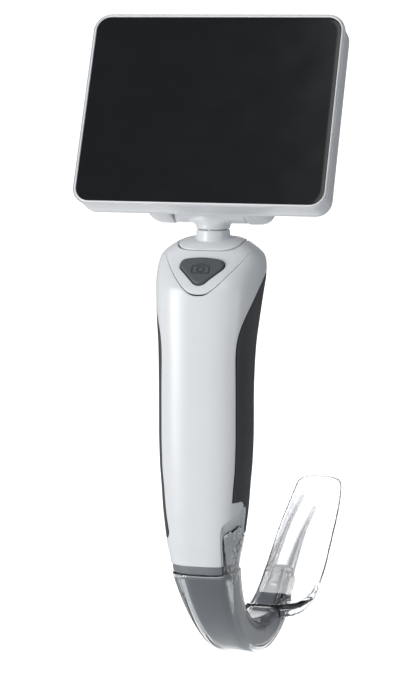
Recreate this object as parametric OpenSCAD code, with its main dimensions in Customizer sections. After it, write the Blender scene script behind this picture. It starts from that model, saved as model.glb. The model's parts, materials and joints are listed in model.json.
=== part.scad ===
// Video laryngoscope: a tilting and swivelling monitor on a hand grip, with a curved
// camera arm and a clear detachable blade.
// Units are millimetres, +Z is up along the handle, -Y is the side that the user faces,
// and the origin is the middle of the handle's lower end.

/* [Monitor] */
// Width of the cover glass
glass_w = 89.6; // [70:0.1:110]
// Height of the cover glass
glass_h = 69.9; // [55:0.1:90]
// Corner radius of the cover glass
glass_r = 5; // [1:0.5:12]
// Width of the frame's wall round the glass
lip_w = 0.9; // [0.5:0.1:4]
// Depth of the front frame
frame_depth = 10.2; // [6:0.1:16]
// Depth of the rear shell behind the frame
rear_depth = 2.6; // [2:0.1:8]
// How far the monitor leans back from upright
lean = 24; // [-12:1:118]
// Radius of the hinge cheeks and of the yoke's barrel
barrel_r = 6.9; // [5:0.1:10]
// Width of the yoke's barrel
barrel_w = 25.6; // [16:0.1:34]
// Width over both hinge cheeks, where they leave the rear shell
cheeks_w = 47; // [40:0.5:60]

/* [Neck] */
// Height of the hinge pin above the handle's lower end
hinge_z = 130.2; // [126:0.1:140]
// Distance of the neck behind the handle's middle
neck_y = 8.6; // [4:0.1:12]
// Radius of the neck
neck_r = 6; // [5:0.1:8]
// Height of the parting groove of the neck
groove_z = 120.8; // [120:0.1:124]

/* [Handle] */
// Width across the shoulders
shoulder_w = 37.8; // [30:0.1:46]
// Width at the middle of the grip
grip_w = 32.5; // [26:0.1:40]
// Width at the collar
collar_w = 22.8; // [20:0.1:30]
// Front to back depth at the middle of the grip
grip_d = 28.5; // [22:0.1:36]
// Wall thickness of the covers
wall = 2; // [1.5:0.1:3]
// Height of the grey collar ring
collar_h = 3.2; // [2:0.1:6]
// Width of the triangular button
button_w = 15.8; // [12:0.1:20]

/* [Arm and blade] */
// Radius of the blade's outer arc
arc_r = 77; // [60:0.5:90]
// Distance of the arc's centre behind the handle's middle
arc_y = 62.2; // [50:0.1:75]
// Height of the arc's centre
arc_z = 34.3; // [20:0.1:50]
// Angle of the arm's tip past the lowest point of the arc
arm_end = 36; // [20:1:45]
// Wall thickness of the blade
blade_wall = 1.4; // [1:0.1:2]
// Clearance between the blade and the arm
blade_gap = 0.4; // [0.3:0.05:1]
// Distance of the blade's tip behind the handle's middle
tip_y = 146; // [120:0.1:160]
// Slope of the spatula above horizontal
tip_slope = 33; // [25:1:45]
// Thickness of the spatula plate
plate_t = 1.8; // [1.2:0.1:3]

/* [Hidden] */
$fn = 48;

white = [0.93, 0.94, 0.95];
dark = [0.29, 0.29, 0.31];
grey = [0.5, 0.52, 0.55];
steel = [0.75, 0.76, 0.78];
green = [0.1, 0.4, 0.25];
clear = [0.85, 0.93, 0.98, 0.5];

// stations of the handle: height, width, depth, and how far the middle lies back
stations = [
    [0, collar_w, 20.5, -1],
    [5, collar_w + 1.6, 21.5, -1],
    [10, collar_w + 3.6, 23.2, -1],
    [16, grip_w - 4.5, 24.5, -0.8],
    [23, grip_w - 3, 26, -0.6],
    [31, grip_w - 1.9, 27, -0.4],
    [39, grip_w - 0.7, 28, -0.2],
    [51, grip_w, grip_d, 0],
    [62, grip_w, grip_d, 0],
    [72, grip_w + 0.3, grip_d + 0.5, 0.4],
    [81, grip_w + 1, grip_d + 1.5, 1.2],
    [89, grip_w + 2.5, grip_d + 2.5, 2.4],
    [95, shoulder_w - 1.7, grip_d + 3.7, 3.6],
    [101, shoulder_w - 0.7, grip_d + 4.9, 5.2],
    [104, shoulder_w - 0.1, grip_d + 3.9, 6.2],
    [107, shoulder_w, grip_d + 1.9, 7.3],
    [109.5, shoulder_w - 0.3, grip_d - 1, 8.1],
    [112, shoulder_w - 1.8, grip_d - 4.6, 8.6],
    [114.5, shoulder_w - 6, grip_d - 8, 8.8],
    [116.5, shoulder_w - 11, grip_d - 12, 8.8],
    [118, shoulder_w - 16, grip_d - 16, 8.8],
    [119, shoulder_w - 22, grip_d - 20, 8.8]
];
corner_n = 2.9;
ring_n = 36;
crown_z = 119;
seam = 0.15;
cover_low = collar_h + 0.05;
inner_low = 6;
inner_high = 114;

// monitor, in its own frame: x across, y backwards from the glass, z up the glass
glass_y = 2.1;
glass_z = 163.8;
glass_t = 1.2;
frame_w = glass_w + 2 * lip_w;
frame_h = glass_h + 2 * lip_w;
frame_r = glass_r + lip_w;
frame_front = -0.3;
frame_back = frame_front + frame_depth;
rear_back = frame_back + rear_depth;
seat_w = 2;
bay_w = glass_w - 2 * seat_w;
bay_h = glass_h - 2 * seat_w;
boss_x = bay_w / 2 - 3;
boss_z = bay_h / 2 - 3;
boss_r = 2.6;
board_w = 78;
board_h = 46;
board_back = 6;
board_t = 1.2;
// middle of the hinge pin in the monitor's frame
pin_back = (neck_y - glass_y) * cos(lean) - (hinge_z - glass_z) * sin(lean);
pin_up = (neck_y - glass_y) * sin(lean) + (hinge_z - glass_z) * cos(lean);
pin_r = 2;
cheek_in = 13.4;
cheek_flat = 18.2;
washer_r = 5;
run_fit = 0.05;
power_x = 30;
power_w = 10;
power_t = 3.4;
power_back = 4.4;
power_proud = 0.6;
flap_low = -6.5;
flap_high = 8;
flap_front = 2;
flap_back = 7.4;
flap_t = 1.1;

// neck
yoke_low = groove_z + 0.2;
shaft_r = 3.5;
shaft_bore = 2;
shaft_low = 107.6;
shaft_high = 126;
clip_low = 108.6;
clip_t = 1;
cap_low = 110.6;
bush_r = 5;

// top of the handle
cap_a = 11.7;
cap_b = 9.9;
cap_y = 8.6;
cap_n = 3.6;
v_tip_z = 99.4;
button_tilt = 38;
button_y = -7.9;
button_z = 107.2;
button_proud = 0.5;
button_gap = 0.35;
grip_low = 12;
grip_high = 105.8;
grip_front = -10.2;

// pocket and tab on the right of the handle
pocket_x = 8.6;
tab_gap = 0.3;
pocket_floor = 1.6;

// arm and blade
arm_out = arc_r - blade_wall - blade_gap;
arm_start = -66;
arm_root_w = 8.1;
arm_mid_w = 5.9;
arm_tip_w = 4.7;
arm_in_root = 65;
arm_in_tip = 69;
arm_draft = 0.4;
arm_corner = 0.36;
lead_r = 0.9;
lead_way_r = 1.5;
lead_turn = -60;
core_r = (arm_out + arm_in_tip) / 2;
camera_r = 1.9;
camera_len = 9;
led_r = 0.6;
led_x = 2.2;
led_out = 1.9;
plate_r = 66.4;
plate_start = 12.5;
plate_steps = 8;
rim_h = 4.6;
blade_top = -0.3;
flange_t = 1.5;
// root of the arm inside the handle: left, right, front and rear faces
root = [-6.6, 5.8, -5.2, 5.8];
seal_t = 1;

// inside of the handle
cell_r = 7;
cell_len = 50;
cell_z = 27;
cell_y = 3.65;
deck_y = -4.6;
deck_t = 1.2;

// ---------------------------------------------------------------- functions

// value of one column of the stations at a height
function column(i) = [for (s = stations) [s[0], s[i]]];
function handle_at(z, i) = lookup(z, column(i));

// point at angle t of a rounded outline with half sizes a and b
function rounded(a, b, t, p) = [
    a * sign(cos(t)) * pow(abs(cos(t)), p),
    b * sign(sin(t)) * pow(abs(sin(t)), p)
];

function ring(z, inset) = [
    for (i = [0:ring_n - 1])
        let (
            a = handle_at(z, 1) / 2 - inset,
            b = handle_at(z, 2) / 2 - inset,
            q = rounded(a, b, i * 360 / ring_n, 2 / corner_n)
        )
        [q[0], q[1] + handle_at(z, 3), z]
];

// faces that join rings of n points and close both ends
function loft_faces(n, rings) = concat(
    [[for (i = [0:n - 1]) i]],
    [for (k = [0:rings - 2], i = [0:n - 1])
        [k * n + i, (k + 1) * n + i, (k + 1) * n + (i + 1) % n, k * n + (i + 1) % n]],
    [[for (i = [n - 1:-1:0]) (rings - 1) * n + i]]
);
function flat(list) = [for (a = list) for (b = a) b];
function reversed(list) = [for (i = [len(list) - 1:-1:0]) list[i]];

// side view point of the arc: radius, and angle past the lowest point
function arc_point(r, t) = [arc_y + r * sin(t), arc_z - r * cos(t)];
function arm_half(t) = t < 0
    ? arm_mid_w + (arm_root_w - arm_mid_w) * pow(min(1, -t / 60), 1.8)
    : arm_mid_w + (arm_tip_w - arm_mid_w) * pow(t / arm_end, 1.25);
function arm_inner(t) =
    arm_in_root + (arm_in_tip - arm_in_root) * (t + 58) / (arm_end + 58);

// how much narrower the arm's inner face is than its outer one
function arm_narrow(t) = arm_draft * min(1, max(0, (t + 8) / 40));

// rounded section of the arm, grown by g, at angle t of the arc
function arm_ring(t, g, n) = let (
    r1 = arm_out + g,
    r0 = arm_inner(t) - g,
    h = (r1 - r0) / 2
) [
    for (i = [0:n - 1])
        let (
            q = rounded(1, h, i * 360 / n, arm_corner),
            a = arm_half(t) * (1 - arm_narrow(t) * (1 - q[1] / h) / 2) + g,
            p = arc_point((r1 + r0) / 2 + q[1], t)
        )
        [a * q[0], p[0], p[1]]
];

// growth of the blade's channel over the arm, wider towards the collar
function blade_grow(t) =
    blade_wall + blade_gap + 1.3 * pow(max(0, (-t - 34) / 28), 1.6);

// front edge of the dark grip, seen from the side
function grip_edge(z) = grip_front + 22 * pow(max(0, z - 72) / 34, 3.3);

// a line d below the top of the spatula, seen from the side, ending at y
function plate_line(d, y) = concat(
    [for (k = [0:plate_steps])
        arc_point(plate_r + d, plate_start + (tip_slope - plate_start) * k / plate_steps)],
    [let (p = arc_point(plate_r + d, tip_slope))
        [y, p[1] + (y - p[0]) * tan(tip_slope)]]
);

// ---------------------------------------------------------------- helpers

module rounded_slab(w, h, r) {
    union() {
        square([w - 2 * r, h], center = true);
        square([w, h - 2 * r], center = true);
        for (x = [-1, 1])
            for (y = [-1, 1])
                translate([x * (w / 2 - r), y * (h / 2 - r)])
                    circle(r = r);
    }
}

// places children that are drawn in the monitor's own frame
module in_monitor() {
    translate([0, glass_y, glass_z])
        rotate([-lean, 0, 0])
            children();
}

// upright rounded slab in the monitor's frame, between two depths
module slab(w, h, r, from, to) {
    translate([0, to, 0])
        rotate([90, 0, 0])
            linear_extrude(height = to - from)
                rounded_slab(w, h, r);
}

module block(x0, x1, y0, y1, z0, z1) {
    translate([x0, y0, z0])
        cube([x1 - x0, y1 - y0, z1 - z0]);
}

// rod that points along Y in the frame that it is drawn in
module y_rod(r, x, z, y0, y1) {
    translate([x, y1, z])
        rotate([90, 0, 0])
            cylinder(r = r, h = y1 - y0);
}

// rod along X in the frame that it is drawn in
module x_rod(r, y, z, x0, x1) {
    translate([x0, y, z])
        rotate([0, 90, 0])
            cylinder(r = r, h = x1 - x0);
}

// prism along X from a side view drawn in Y and Z
module side_prism(points, x0, x1) {
    translate([x0, 0, 0])
        rotate([90, 0, 90])
            linear_extrude(height = x1 - x0)
                polygon(points);
}

// prism along Y from a front view drawn in X and Z
module front_prism(points, y0, y1) {
    translate([0, y1, 0])
        rotate([90, 0, 0])
            linear_extrude(height = y1 - y0)
                polygon(points);
}

module handle_solid(z0, z1, inset) {
    levels = concat(
        [z0],
        [for (s = stations) if (s[0] > z0 + 0.6 && s[0] < z1 - 0.6) s[0]],
        [z1]
    );
    polyhedron(
        points = flat([for (z = levels) ring(z, inset)]),
        faces = loft_faces(ring_n, len(levels)),
        convexity = 6
    );
}

module handle_shell() {
    difference() {
        handle_solid(cover_low, crown_z, 0);
        handle_solid(inner_low, inner_high, wall);
    }
}

// everything behind the grip's front edge, set back by m
module grip_region(m) {
    side_prism(concat(
        [[40, grip_low + m], [grip_front + m, grip_low + m]],
        [for (z = [40, 73, 78, 82, 86, 89, 92, 95, 97, 99, 101, 103, 104.5, grip_high - m])
            [grip_edge(z) + m, z]],
        [[40, grip_high - m]]
    ), -30, 30);
}

// the grip's front edge steps back above the pocket on the right
module grip_step(m) {
    side_prism([
        [-20, 5], [-3.7 + m, 5], [-3.7 + m, 23.6 + m], [-4.1 + m, 24.9 + m],
        [-5 + m, 25.8 + m], [-6.4, 26.3 + m], [-20, 26.3 + m]
    ], 0, 30);
}

// pocket for the blade's tab on the right of the handle, grown by m
module tab_pocket(m) {
    side_prism([
        [-25, -2], [25, -2], [25, 13 + m], [1 + m, 13 + m], [1 + m, 20.5 + m],
        [-1, 22.5 + m], [-5, 22.5 + m], [-10 - m, 18.5 + m], [-11.5 - m, 16 + m],
        [-25, 16 + m]
    ], pocket_x - m, 30);
}

// region of the top cover, set back by m, with its V-shaped front seam
module v_region(m) {
    difference() {
        front_prism([
            [0, v_tip_z + m], [3, v_tip_z + 0.5 + m], [6.2 - m, 102.3 + m],
            [10.6 - m, 107 + m], [14.6 - m, 112], [16.2 - m, 115], [17 - m, 125],
            [-17 + m, 125], [-16.2 + m, 115], [-14.6 + m, 112], [-10.6 + m, 107 + m],
            [-6.2 + m, 102.3 + m],
            [-3, v_tip_z + 0.5 + m]
        ], -30, 40);
        block(-30, 30, neck_y, 50, 80, 107.2 + m);
    }
}

module cap_region(m) {
    translate([0, cap_y, 105])
        linear_extrude(height = 25)
            polygon([
                for (i = [0:47]) rounded(cap_a + m, cap_b + m, i * 7.5, 2 / cap_n)
            ]);
}

// places children drawn on the button's face, with z along its push
module on_button() {
    translate([0, button_y, button_z])
        rotate([90 - button_tilt, 0, 0])
            children();
}

// outward direction of the straight side that joins two corner circles
function side_out(a, b, ra, rb) = let (
    d = (b - a) / norm(b - a),
    k = (ra - rb) / norm(b - a),
    h = sqrt(1 - k * k)
) [d[0] * k + d[1] * h, d[1] * k - d[0] * h];

// rounded triangle of the button, grown by m, between two heights
module button_prism(m, low, high) {
    corner = [-button_w / 2 + 2.4, 3];
    foot = [0, -1.95];
    out = side_out(corner, foot, 2.4, 3);
    side = [corner + (2.4 + m) * out, foot + (3 + m) * out];
    top = [corner[0], corner[1] + 2.4 + m];
    on_button()
        translate([0, 0, low])
            linear_extrude(height = high - low)
                union() {
                    polygon([
                        top, side[0], side[1], [-side[1][0], side[1][1]],
                        [-side[0][0], side[0][1]], [-top[0], top[1]],
                        [2.6, top[1] + 0.45], [0, top[1] + 0.6], [-2.6, top[1] + 0.45]
                    ]);
                    for (x = [-1, 1])
                        translate([x * corner[0], corner[1]])
                            circle(r = 2.4 + m);
                    translate(foot)
                        circle(r = 3 + m);
                }
}

module arm_loft(t0, t1, g, n) {
    steps = ceil((t1 - t0) / 6);
    rings = [for (k = [0:steps]) arm_ring(t0 + (t1 - t0) * k / steps, g, n)];
    polyhedron(points = flat(rings), faces = loft_faces(n, steps + 1), convexity = 6);
}

module blade_loft(t0, t1, n) {
    steps = ceil((t1 - t0) / 6);
    rings = [for (k = [0:steps])
        let (t = t0 + (t1 - t0) * k / steps) arm_ring(t, blade_grow(t), n)];
    polyhedron(points = flat(rings), faces = loft_faces(n, steps + 1), convexity = 6);
}

// sweeps a flat shape, drawn about the path, along the arc of radius r
module along_arc(r, t0, t1) {
    translate([0, arc_y, arc_z])
        rotate([90, 0, 90])
            rotate([0, 0, t0 - 90])
                rotate_extrude(angle = t1 - t0)
                    translate([r, 0])
                        children();
}

// turns children so that z runs along the arc, on the core line at angle t
module on_arc(t) {
    p = arc_point(core_r, t);
    translate([0, p[0], p[1]])
        rotate([t - 90, 0, 0])
            children();
}

// ---------------------------------------------------------------- handle

// white cover with the shoulders, the lower end and the tab's pocket
module front_cover() {
    color(white)
        union() {
            difference() {
                handle_shell();
                difference() {
                    grip_region(0);
                    grip_step(0);
                }
                v_region(-seam);
                tab_pocket(0);
                root_block(seal_t + 0.05, 0, 7);
            }
            pocket_wall();
        }
}

// wall round the pocket, which closes the cover behind the tab
module pocket_wall() {
    difference() {
        union() {
            intersection() {
                handle_solid(inner_low - 0.5, 26, wall + 0.05);
                tab_pocket(pocket_floor);
            }
            intersection() {
                handle_solid(cover_low, 23.8, 0.02);
                block(pocket_x - pocket_floor, pocket_x, -20, -4, cover_low, 23.8);
            }
        }
        tab_pocket(0);
        block(-30, 30, -30, 30, 0, cover_low);
    }
}

module rear_grip() {
    color(dark)
        difference() {
            intersection() {
                handle_shell();
                grip_region(seam);
            }
            grip_step(seam);
            tab_pocket(0);
            y_rod(2.4, 0, 19, 9.8, 20);
            y_rod(1.2, 0, 19, 0, 20);
            y_rod(2.4, 0, 88, 16.2, 30);
            y_rod(1.2, 0, 88, 0, 30);
        }
}

module top_cover() {
    color(white)
        difference() {
            intersection() {
                handle_shell();
                v_region(0);
            }
            cap_region(seam);
            button_prism(button_gap, -9, 9);
        }
}

// oval cap with the fixed stub of the neck
module neck_cap() {
    color(white)
        difference() {
            union() {
                intersection() {
                    handle_solid(cap_low, crown_z, 0);
                    cap_region(0);
                }
                translate([0, neck_y, crown_z - 2])
                    cylinder(r = neck_r, h = groove_z - crown_z + 2);
            }
            translate([0, neck_y, 100])
                cylinder(r = bush_r, h = 30);
        }
}

module bottom_collar() {
    color(grey)
        difference() {
            handle_solid(0, collar_h, 0.35);
            block(-8.3, 30, -7.9, 7.3, -1, 10);
            block(pocket_x, 30, -20, 20, -1, 10);
        }
}

// the arm's squared root, grown by m, between two heights
module root_block(m, low, high) {
    block(root[0] - m, root[1] + m, root[2] - m, root[3] + m, low, high);
}

module camera_arm() {
    color(grey)
        difference() {
            union() {
                difference() {
                    arm_loft(arm_start, arm_end, 0, 24);
                    block(-30, 30, -30, 30, collar_h, 40);
                }
                root_block(0, collar_h - 1, 14);
            }
            along_arc(core_r, lead_turn, arm_end - 6)
                circle(r = lead_way_r);
            lead_rise(lead_way_r, 30);
            on_arc(arm_end)
                translate([0, 0, -camera_len])
                    cylinder(r = camera_r + 0.05, h = 30);
            for (x = [-1, 1])
                on_arc(arm_end)
                    translate([x * led_x, led_out, -2.2])
                        cylinder(r = led_r + 0.05, h = 10);
        }
}

// upright part of the lead, from the arc's upper end into the handle
module lead_rise(r, top) {
    p = arc_point(core_r, lead_turn);
    translate([0, p[0], p[1] - 0.5 * r - 0.3])
        cylinder(r = r + 0.1, h = top - p[1] + 0.5 * r + 0.3);
}

module camera_lead() {
    color(dark)
        union() {
            along_arc(core_r, lead_turn, arm_end - 7.5)
                circle(r = lead_r);
            lead_rise(lead_r, 23);
        }
}

module camera_barrel() {
    color(steel)
        on_arc(arm_end)
            difference() {
                translate([0, 0, -camera_len + 0.1])
                    cylinder(r = camera_r, h = camera_len - 1.3);
                translate([0, 0, -3.2])
                    cylinder(r = 1.3, h = 5);
            }
}

module camera_lens() {
    color([0.1, 0.12, 0.2])
        on_arc(arm_end)
            translate([0, 0, -3.2])
                cylinder(r = 1.3, h = 1.9);
}

module camera_window() {
    color(clear)
        on_arc(arm_end)
            translate([0, 0, -1.15])
                cylinder(r = camera_r, h = 1.1);
}

module arm_leds() {
    color([1, 1, 0.85])
        for (x = [-1, 1])
            on_arc(arm_end)
                translate([x * led_x, led_out, -2.15])
                    cylinder(r = led_r, h = 2.1);
}

// rubber seal round the arm's root, in the opening of the cover's floor
module arm_seal() {
    color(dark)
        difference() {
            root_block(seal_t, 4.4, 6);
            root_block(0.02, 0, 10);
        }
}

module chassis() {
    color(grey)
        difference() {
            union() {
                block(-10, 6.5, deck_y, deck_y + deck_t, 16, 26);
                block(-10.5, 10.5, deck_y, deck_y + deck_t, 26, 94);
                block(-8.5, 6.5, deck_y, 8.8, 23.2, 24.6);
                block(-10.5, 10.5, deck_y, 11.4, 79.4, 80.8);
                block(-5, 5, deck_y, -2.4, 94, 97.4);
                y_rod(2.6, 0, 19, deck_y, 9.2);
                y_rod(2.6, 0, 88, deck_y, 14.9);
            }
            y_rod(0.95, 0, 19, 0, 30);
            y_rod(0.95, 0, 88, 4, 30);
            translate([0, arc_point(core_r, lead_turn)[0], 14])
                cylinder(r = 1.2, h = 10);
        }
}

module battery_cell() {
    color([0.2, 0.45, 0.75])
        translate([0, cell_y, cell_z])
            union() {
                cylinder(r = cell_r, h = cell_len - 1.5);
                cylinder(r = 2.8, h = cell_len);
            }
}

module battery_contacts() {
    color(steel)
        for (end = [
            [24.65, cell_z - 0.02, 3.4],
            [cell_z + cell_len + 0.02, 79.35, 3]
        ])
            translate([0, cell_y, end[0]])
                difference() {
                    cylinder(r = end[2], h = end[1] - end[0]);
                    translate([0, 0, 0.5])
                        cylinder(r = end[2] - 0.8, h = end[1] - end[0] - 1);
                }
}

module handle_board() {
    color(green)
        union() {
            block(-8, 8, deck_y - 2.2, deck_y - 1, 27, 92);
            block(-5, 5, deck_y - 3.6, deck_y - 2.2, 40, 50);
            block(-6, 0, deck_y - 3.2, deck_y - 2.2, 60, 68);
            block(-4, 4, deck_y - 4, deck_y - 2.2, 82, 88);
            for (x = [-6.5, 6.5])
                for (z = [30, 89])
                    y_rod(1.2, x, z, deck_y - 1, deck_y);
        }
}

module push_switch() {
    color([0.15, 0.15, 0.16])
        on_button()
            union() {
                translate([-6, -5, -9.1])
                    cube([12, 10, 1.2]);
                translate([-3, -3, -8])
                    cube([6, 6, 3.3]);
                translate([0, 0, -4.8])
                    cylinder(r = 1.6, h = 0.8);
            }
}

module handle_screws() {
    color(steel)
        for (s = [[19, 9.85, 1.4], [88, 16.25, 1.4]])
            difference() {
                union() {
                    y_rod(2.2, 0, s[0], s[1], s[1] + s[2]);
                    y_rod(0.9, 0, s[0], s[1] - 7, s[1]);
                }
                block(-1.4, 1.4, s[1] + 0.7, 30, s[0] - 0.25, s[0] + 0.25);
                block(-0.25, 0.25, s[1] + 0.7, 30, s[0] - 1.4, s[0] + 1.4);
            }
}

module swivel_bush() {
    color([0.9, 0.88, 0.8])
        translate([0, neck_y, cap_low])
            difference() {
                cylinder(r = bush_r - 0.02, h = groove_z - cap_low - 0.1);
                translate([0, 0, -1])
                    cylinder(r = shaft_r + run_fit, h = 20);
            }
}

// ---------------------------------------------------------------- neck

module neck_yoke() {
    color(white)
        difference() {
            union() {
                translate([0, neck_y, yoke_low])
                    cylinder(r = neck_r, h = hinge_z - yoke_low - 1);
                x_rod(barrel_r, neck_y, hinge_z, -barrel_w / 2, barrel_w / 2);
                intersection() {
                    translate([0, neck_y, 0])
                        rotate_extrude()
                            polygon([
                                [0, yoke_low], [neck_r, yoke_low], [6.3, 121.9],
                                [6.9, 122.7], [8, 123.6], [10, 124.6], [10, 129],
                                [0, 129]
                            ]);
                    block(-20, 20, neck_y - 6.2, neck_y + 6.2, 120, 130);
                }
            }
            x_rod(pin_r + run_fit, neck_y, hinge_z, -20, 20);
            translate([0, neck_y, 115])
                cylinder(r = shaft_r + 0.02, h = shaft_high - 115);
            translate([0, neck_y, 115])
                cylinder(r = 1.2, h = 12.6);
        }
}

module swivel_shaft() {
    color(steel)
        translate([0, neck_y, shaft_low])
            difference() {
                cylinder(r = shaft_r, h = shaft_high - shaft_low - 0.05);
                translate([0, 0, -1])
                    cylinder(r = shaft_bore, h = 30);
                translate([0, 0, clip_low - shaft_low - 0.05])
                    difference() {
                        cylinder(r = 5, h = clip_t + 0.1);
                        translate([0, 0, -1])
                            cylinder(r = 3, h = 5);
                    }
            }
}

// clip in the shaft's groove, open on one side
module shaft_ring() {
    color(steel)
        translate([0, neck_y, clip_low])
            difference() {
                cylinder(r = 5.4, h = clip_t);
                translate([0, 0, -1])
                    cylinder(r = 3.05, h = 5);
                translate([-2, 0, -1])
                    cube([4, 8, 5]);
            }
}

// ---------------------------------------------------------------- monitor

module front_frame() {
    color(white)
        in_monitor()
            difference() {
                union() {
                    difference() {
                        slab(frame_w, frame_h, frame_r, frame_front + 0.6, frame_back);
                        slab(frame_w - 0.7, frame_h - 0.7, frame_r - 0.35, frame_front, 1);
                        slab(glass_w + 0.1, glass_h + 0.1, glass_r + 0.05, -1, glass_t + 0.05);
                        slab(bay_w, bay_h, glass_r - 1, -1, 20);
                    }
                    for (x = [-1, 1])
                        for (z = [-1, 1])
                            y_rod(boss_r, x * boss_x, z * boss_z, 4, frame_back);
                    for (x = [-1, 1])
                        for (z = [-1, 1])
                            block(
                                min(x * boss_x, x * (bay_w / 2 + 0.5)),
                                max(x * boss_x, x * (bay_w / 2 + 0.5)),
                                4, frame_back, z * boss_z - 1.2, z * boss_z + 1.2
                            );
                }
                for (x = [-1, 1])
                    for (z = [-1, 1])
                        y_rod(0.95, x * boss_x, z * boss_z, 4.6, 20);
                // openings for the power button and for the port with its cover
                block(
                    power_x - power_w / 2 - 0.35, power_x + power_w / 2 + 0.35,
                    power_back - power_t / 2 - 0.35, power_back + power_t / 2 + 0.35,
                    bay_h / 2 - 1, 50
                );
                block(-50, -bay_w / 2 + 1, 3.2, 6.4, -4.4, 4.4);
                block(
                    -50, -frame_w / 2 + flap_t + 0.15, flap_front - 0.2, flap_back + 0.2,
                    flap_low - 0.2, flap_high + 0.2
                );
            }
}

module cover_glass() {
    color([0.05, 0.05, 0.06])
        in_monitor()
            slab(glass_w, glass_h, glass_r, 0, glass_t);
}

module display_panel() {
    color(steel)
        in_monitor()
            slab(77, 60, 1, glass_t + 0.05, 3.1);
}

module monitor_board() {
    color(green)
        in_monitor()
            union() {
                slab(board_w, board_h, 1, board_back, board_back + board_t);
                block(24, 36, board_back, board_back + board_t, 22, 29);
                block(26, 34, 3.6, board_back + 0.1, 25.5, 31.4);
                block(-12, 6, 3.9, board_back + 0.1, -8, 10);
                block(14, 24, 4.3, board_back + 0.1, -16, -6);
                block(-28, -16, board_back, 8.6, -18, -8);
            }
}

module port_socket() {
    color(steel)
        in_monitor()
            difference() {
                block(-43.4, -39.3, 3.5, board_back - 0.05, -3.9, 3.9);
                block(-50, -40, 4, board_back - 0.55, -3.3, 3.3);
                block(-44, -39.9, 4.4, 5, -2.6, 2.6);
            }
}

// side view of one hinge cheek in the monitor's frame
function cheek_side() = [
    [frame_back + 1, -frame_h / 2 + 0.4], [pin_back, pin_up - barrel_r], [pin_back, pin_up],
    [pin_back + 0.87 * barrel_r, pin_up + 0.5 * barrel_r], [rear_back - 1, 8]
];

module cheek(sign) {
    x0 = sign > 0 ? cheek_in : -cheeks_w / 2;
    x1 = sign > 0 ? cheeks_w / 2 : -cheek_in;
    difference() {
        union() {
            side_prism(cheek_side(), x0, x1);
            x_rod(barrel_r, pin_back, pin_up, x0, x1);
        }
        // sloping outer ends, below and behind
        translate([sign * cheek_flat, 0, pin_up - barrel_r])
            rotate([0, sign * 60, 0])
                translate([sign * 5 - 5, -10, -20])
                    cube([10, 60, 40]);
        translate([sign * cheek_flat, pin_back + barrel_r, 0])
            rotate([0, 0, sign * 60])
                translate([sign * 5 - 5, -20, -60])
                    cube([10, 40, 80]);
    }
}

module rear_shell() {
    color(white)
        in_monitor()
            difference() {
                union() {
                    slab(frame_w, frame_h, frame_r, frame_back + 0.05, frame_back + 1.4);
                    slab(frame_w - 1.2, frame_h - 1.2, frame_r, frame_back + 1.3, rear_back - 0.7);
                    slab(frame_w - 3, frame_h - 3, frame_r, rear_back - 0.8, rear_back);
                    cheek(1);
                    cheek(-1);
                }
                slab(bay_w, bay_h, glass_r - 1, 0, rear_back - 1.6);
                x_rod(barrel_r + 0.45, pin_back, pin_up, 0.1 - cheek_in, cheek_in - 0.1);
                x_rod(pin_r + 0.02, pin_back, pin_up, -18.4, 18.4);
                for (x = [-1, 1])
                    for (z = [-1, 1]) {
                        y_rod(1.2, x * boss_x, z * boss_z, 0, 30);
                        y_rod(2.1, x * boss_x, z * boss_z, rear_back - 0.9, 30);
                    }
            }
}

module hinge_pin() {
    color(steel)
        in_monitor()
            x_rod(pin_r, pin_back, pin_up, -18.2, 18.2);
}

module hinge_washers() {
    color(steel)
        in_monitor()
            for (x = [-cheek_in + 0.02, barrel_w / 2 + 0.15])
                difference() {
                    x_rod(washer_r, pin_back, pin_up, x, x + cheek_in - barrel_w / 2 - 0.17);
                    x_rod(pin_r + 0.02, pin_back, pin_up, -30, 30);
                }
}

module monitor_screws() {
    color(steel)
        in_monitor()
            for (x = [-1, 1])
                for (z = [-1, 1])
                    difference() {
                        union() {
                            y_rod(1.95, x * boss_x, z * boss_z, rear_back - 0.85, rear_back - 0.05);
                            y_rod(0.9, x * boss_x, z * boss_z, 5, rear_back - 0.8);
                        }
                        block(
                            x * boss_x - 1.2, x * boss_x + 1.2, rear_back - 0.45, 20,
                            z * boss_z - 0.25, z * boss_z + 0.25
                        );
                        block(
                            x * boss_x - 0.25, x * boss_x + 0.25, rear_back - 0.45, 20,
                            z * boss_z - 1.2, z * boss_z + 1.2
                        );
                    }
}

// ---------------------------------------------------------------- moving trim

// triangular button with a camera symbol in low relief
module capture_button() {
    color([0.34, 0.36, 0.37])
        union() {
            button_prism(0, -3, button_proud);
            on_button()
                translate([0, 0.8, button_proud - 0.05])
                    linear_extrude(height = 0.2)
                        union() {
                            difference() {
                                rounded_slab(6.4, 4, 0.8);
                                rounded_slab(5.6, 3.2, 0.5);
                            }
                            difference() {
                                circle(r = 1.25);
                                circle(r = 0.85);
                            }
                            translate([0, 2.2])
                                square([2.4, 0.8], center = true);
                        }
        }
}

module power_button() {
    color(grey)
        in_monitor()
            translate([power_x, power_back, bay_h / 2 + 0.2])
                linear_extrude(height = frame_h / 2 - bay_h / 2 + power_proud - 0.2)
                    rounded_slab(power_w, power_t, 1.6);
}

module port_cover() {
    color(dark)
        in_monitor()
            union() {
                block(
                    -frame_w / 2 + 0.02, -frame_w / 2 + flap_t, flap_front, flap_back,
                    flap_low, flap_high
                );
                block(-frame_w / 2 + 0.5, -43.6, 3.7, 5.9, -3.7, 3.7);
            }
}

// ---------------------------------------------------------------- blade

function plate_end(d, y) = plate_line(d, y)[plate_steps + 1];

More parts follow.
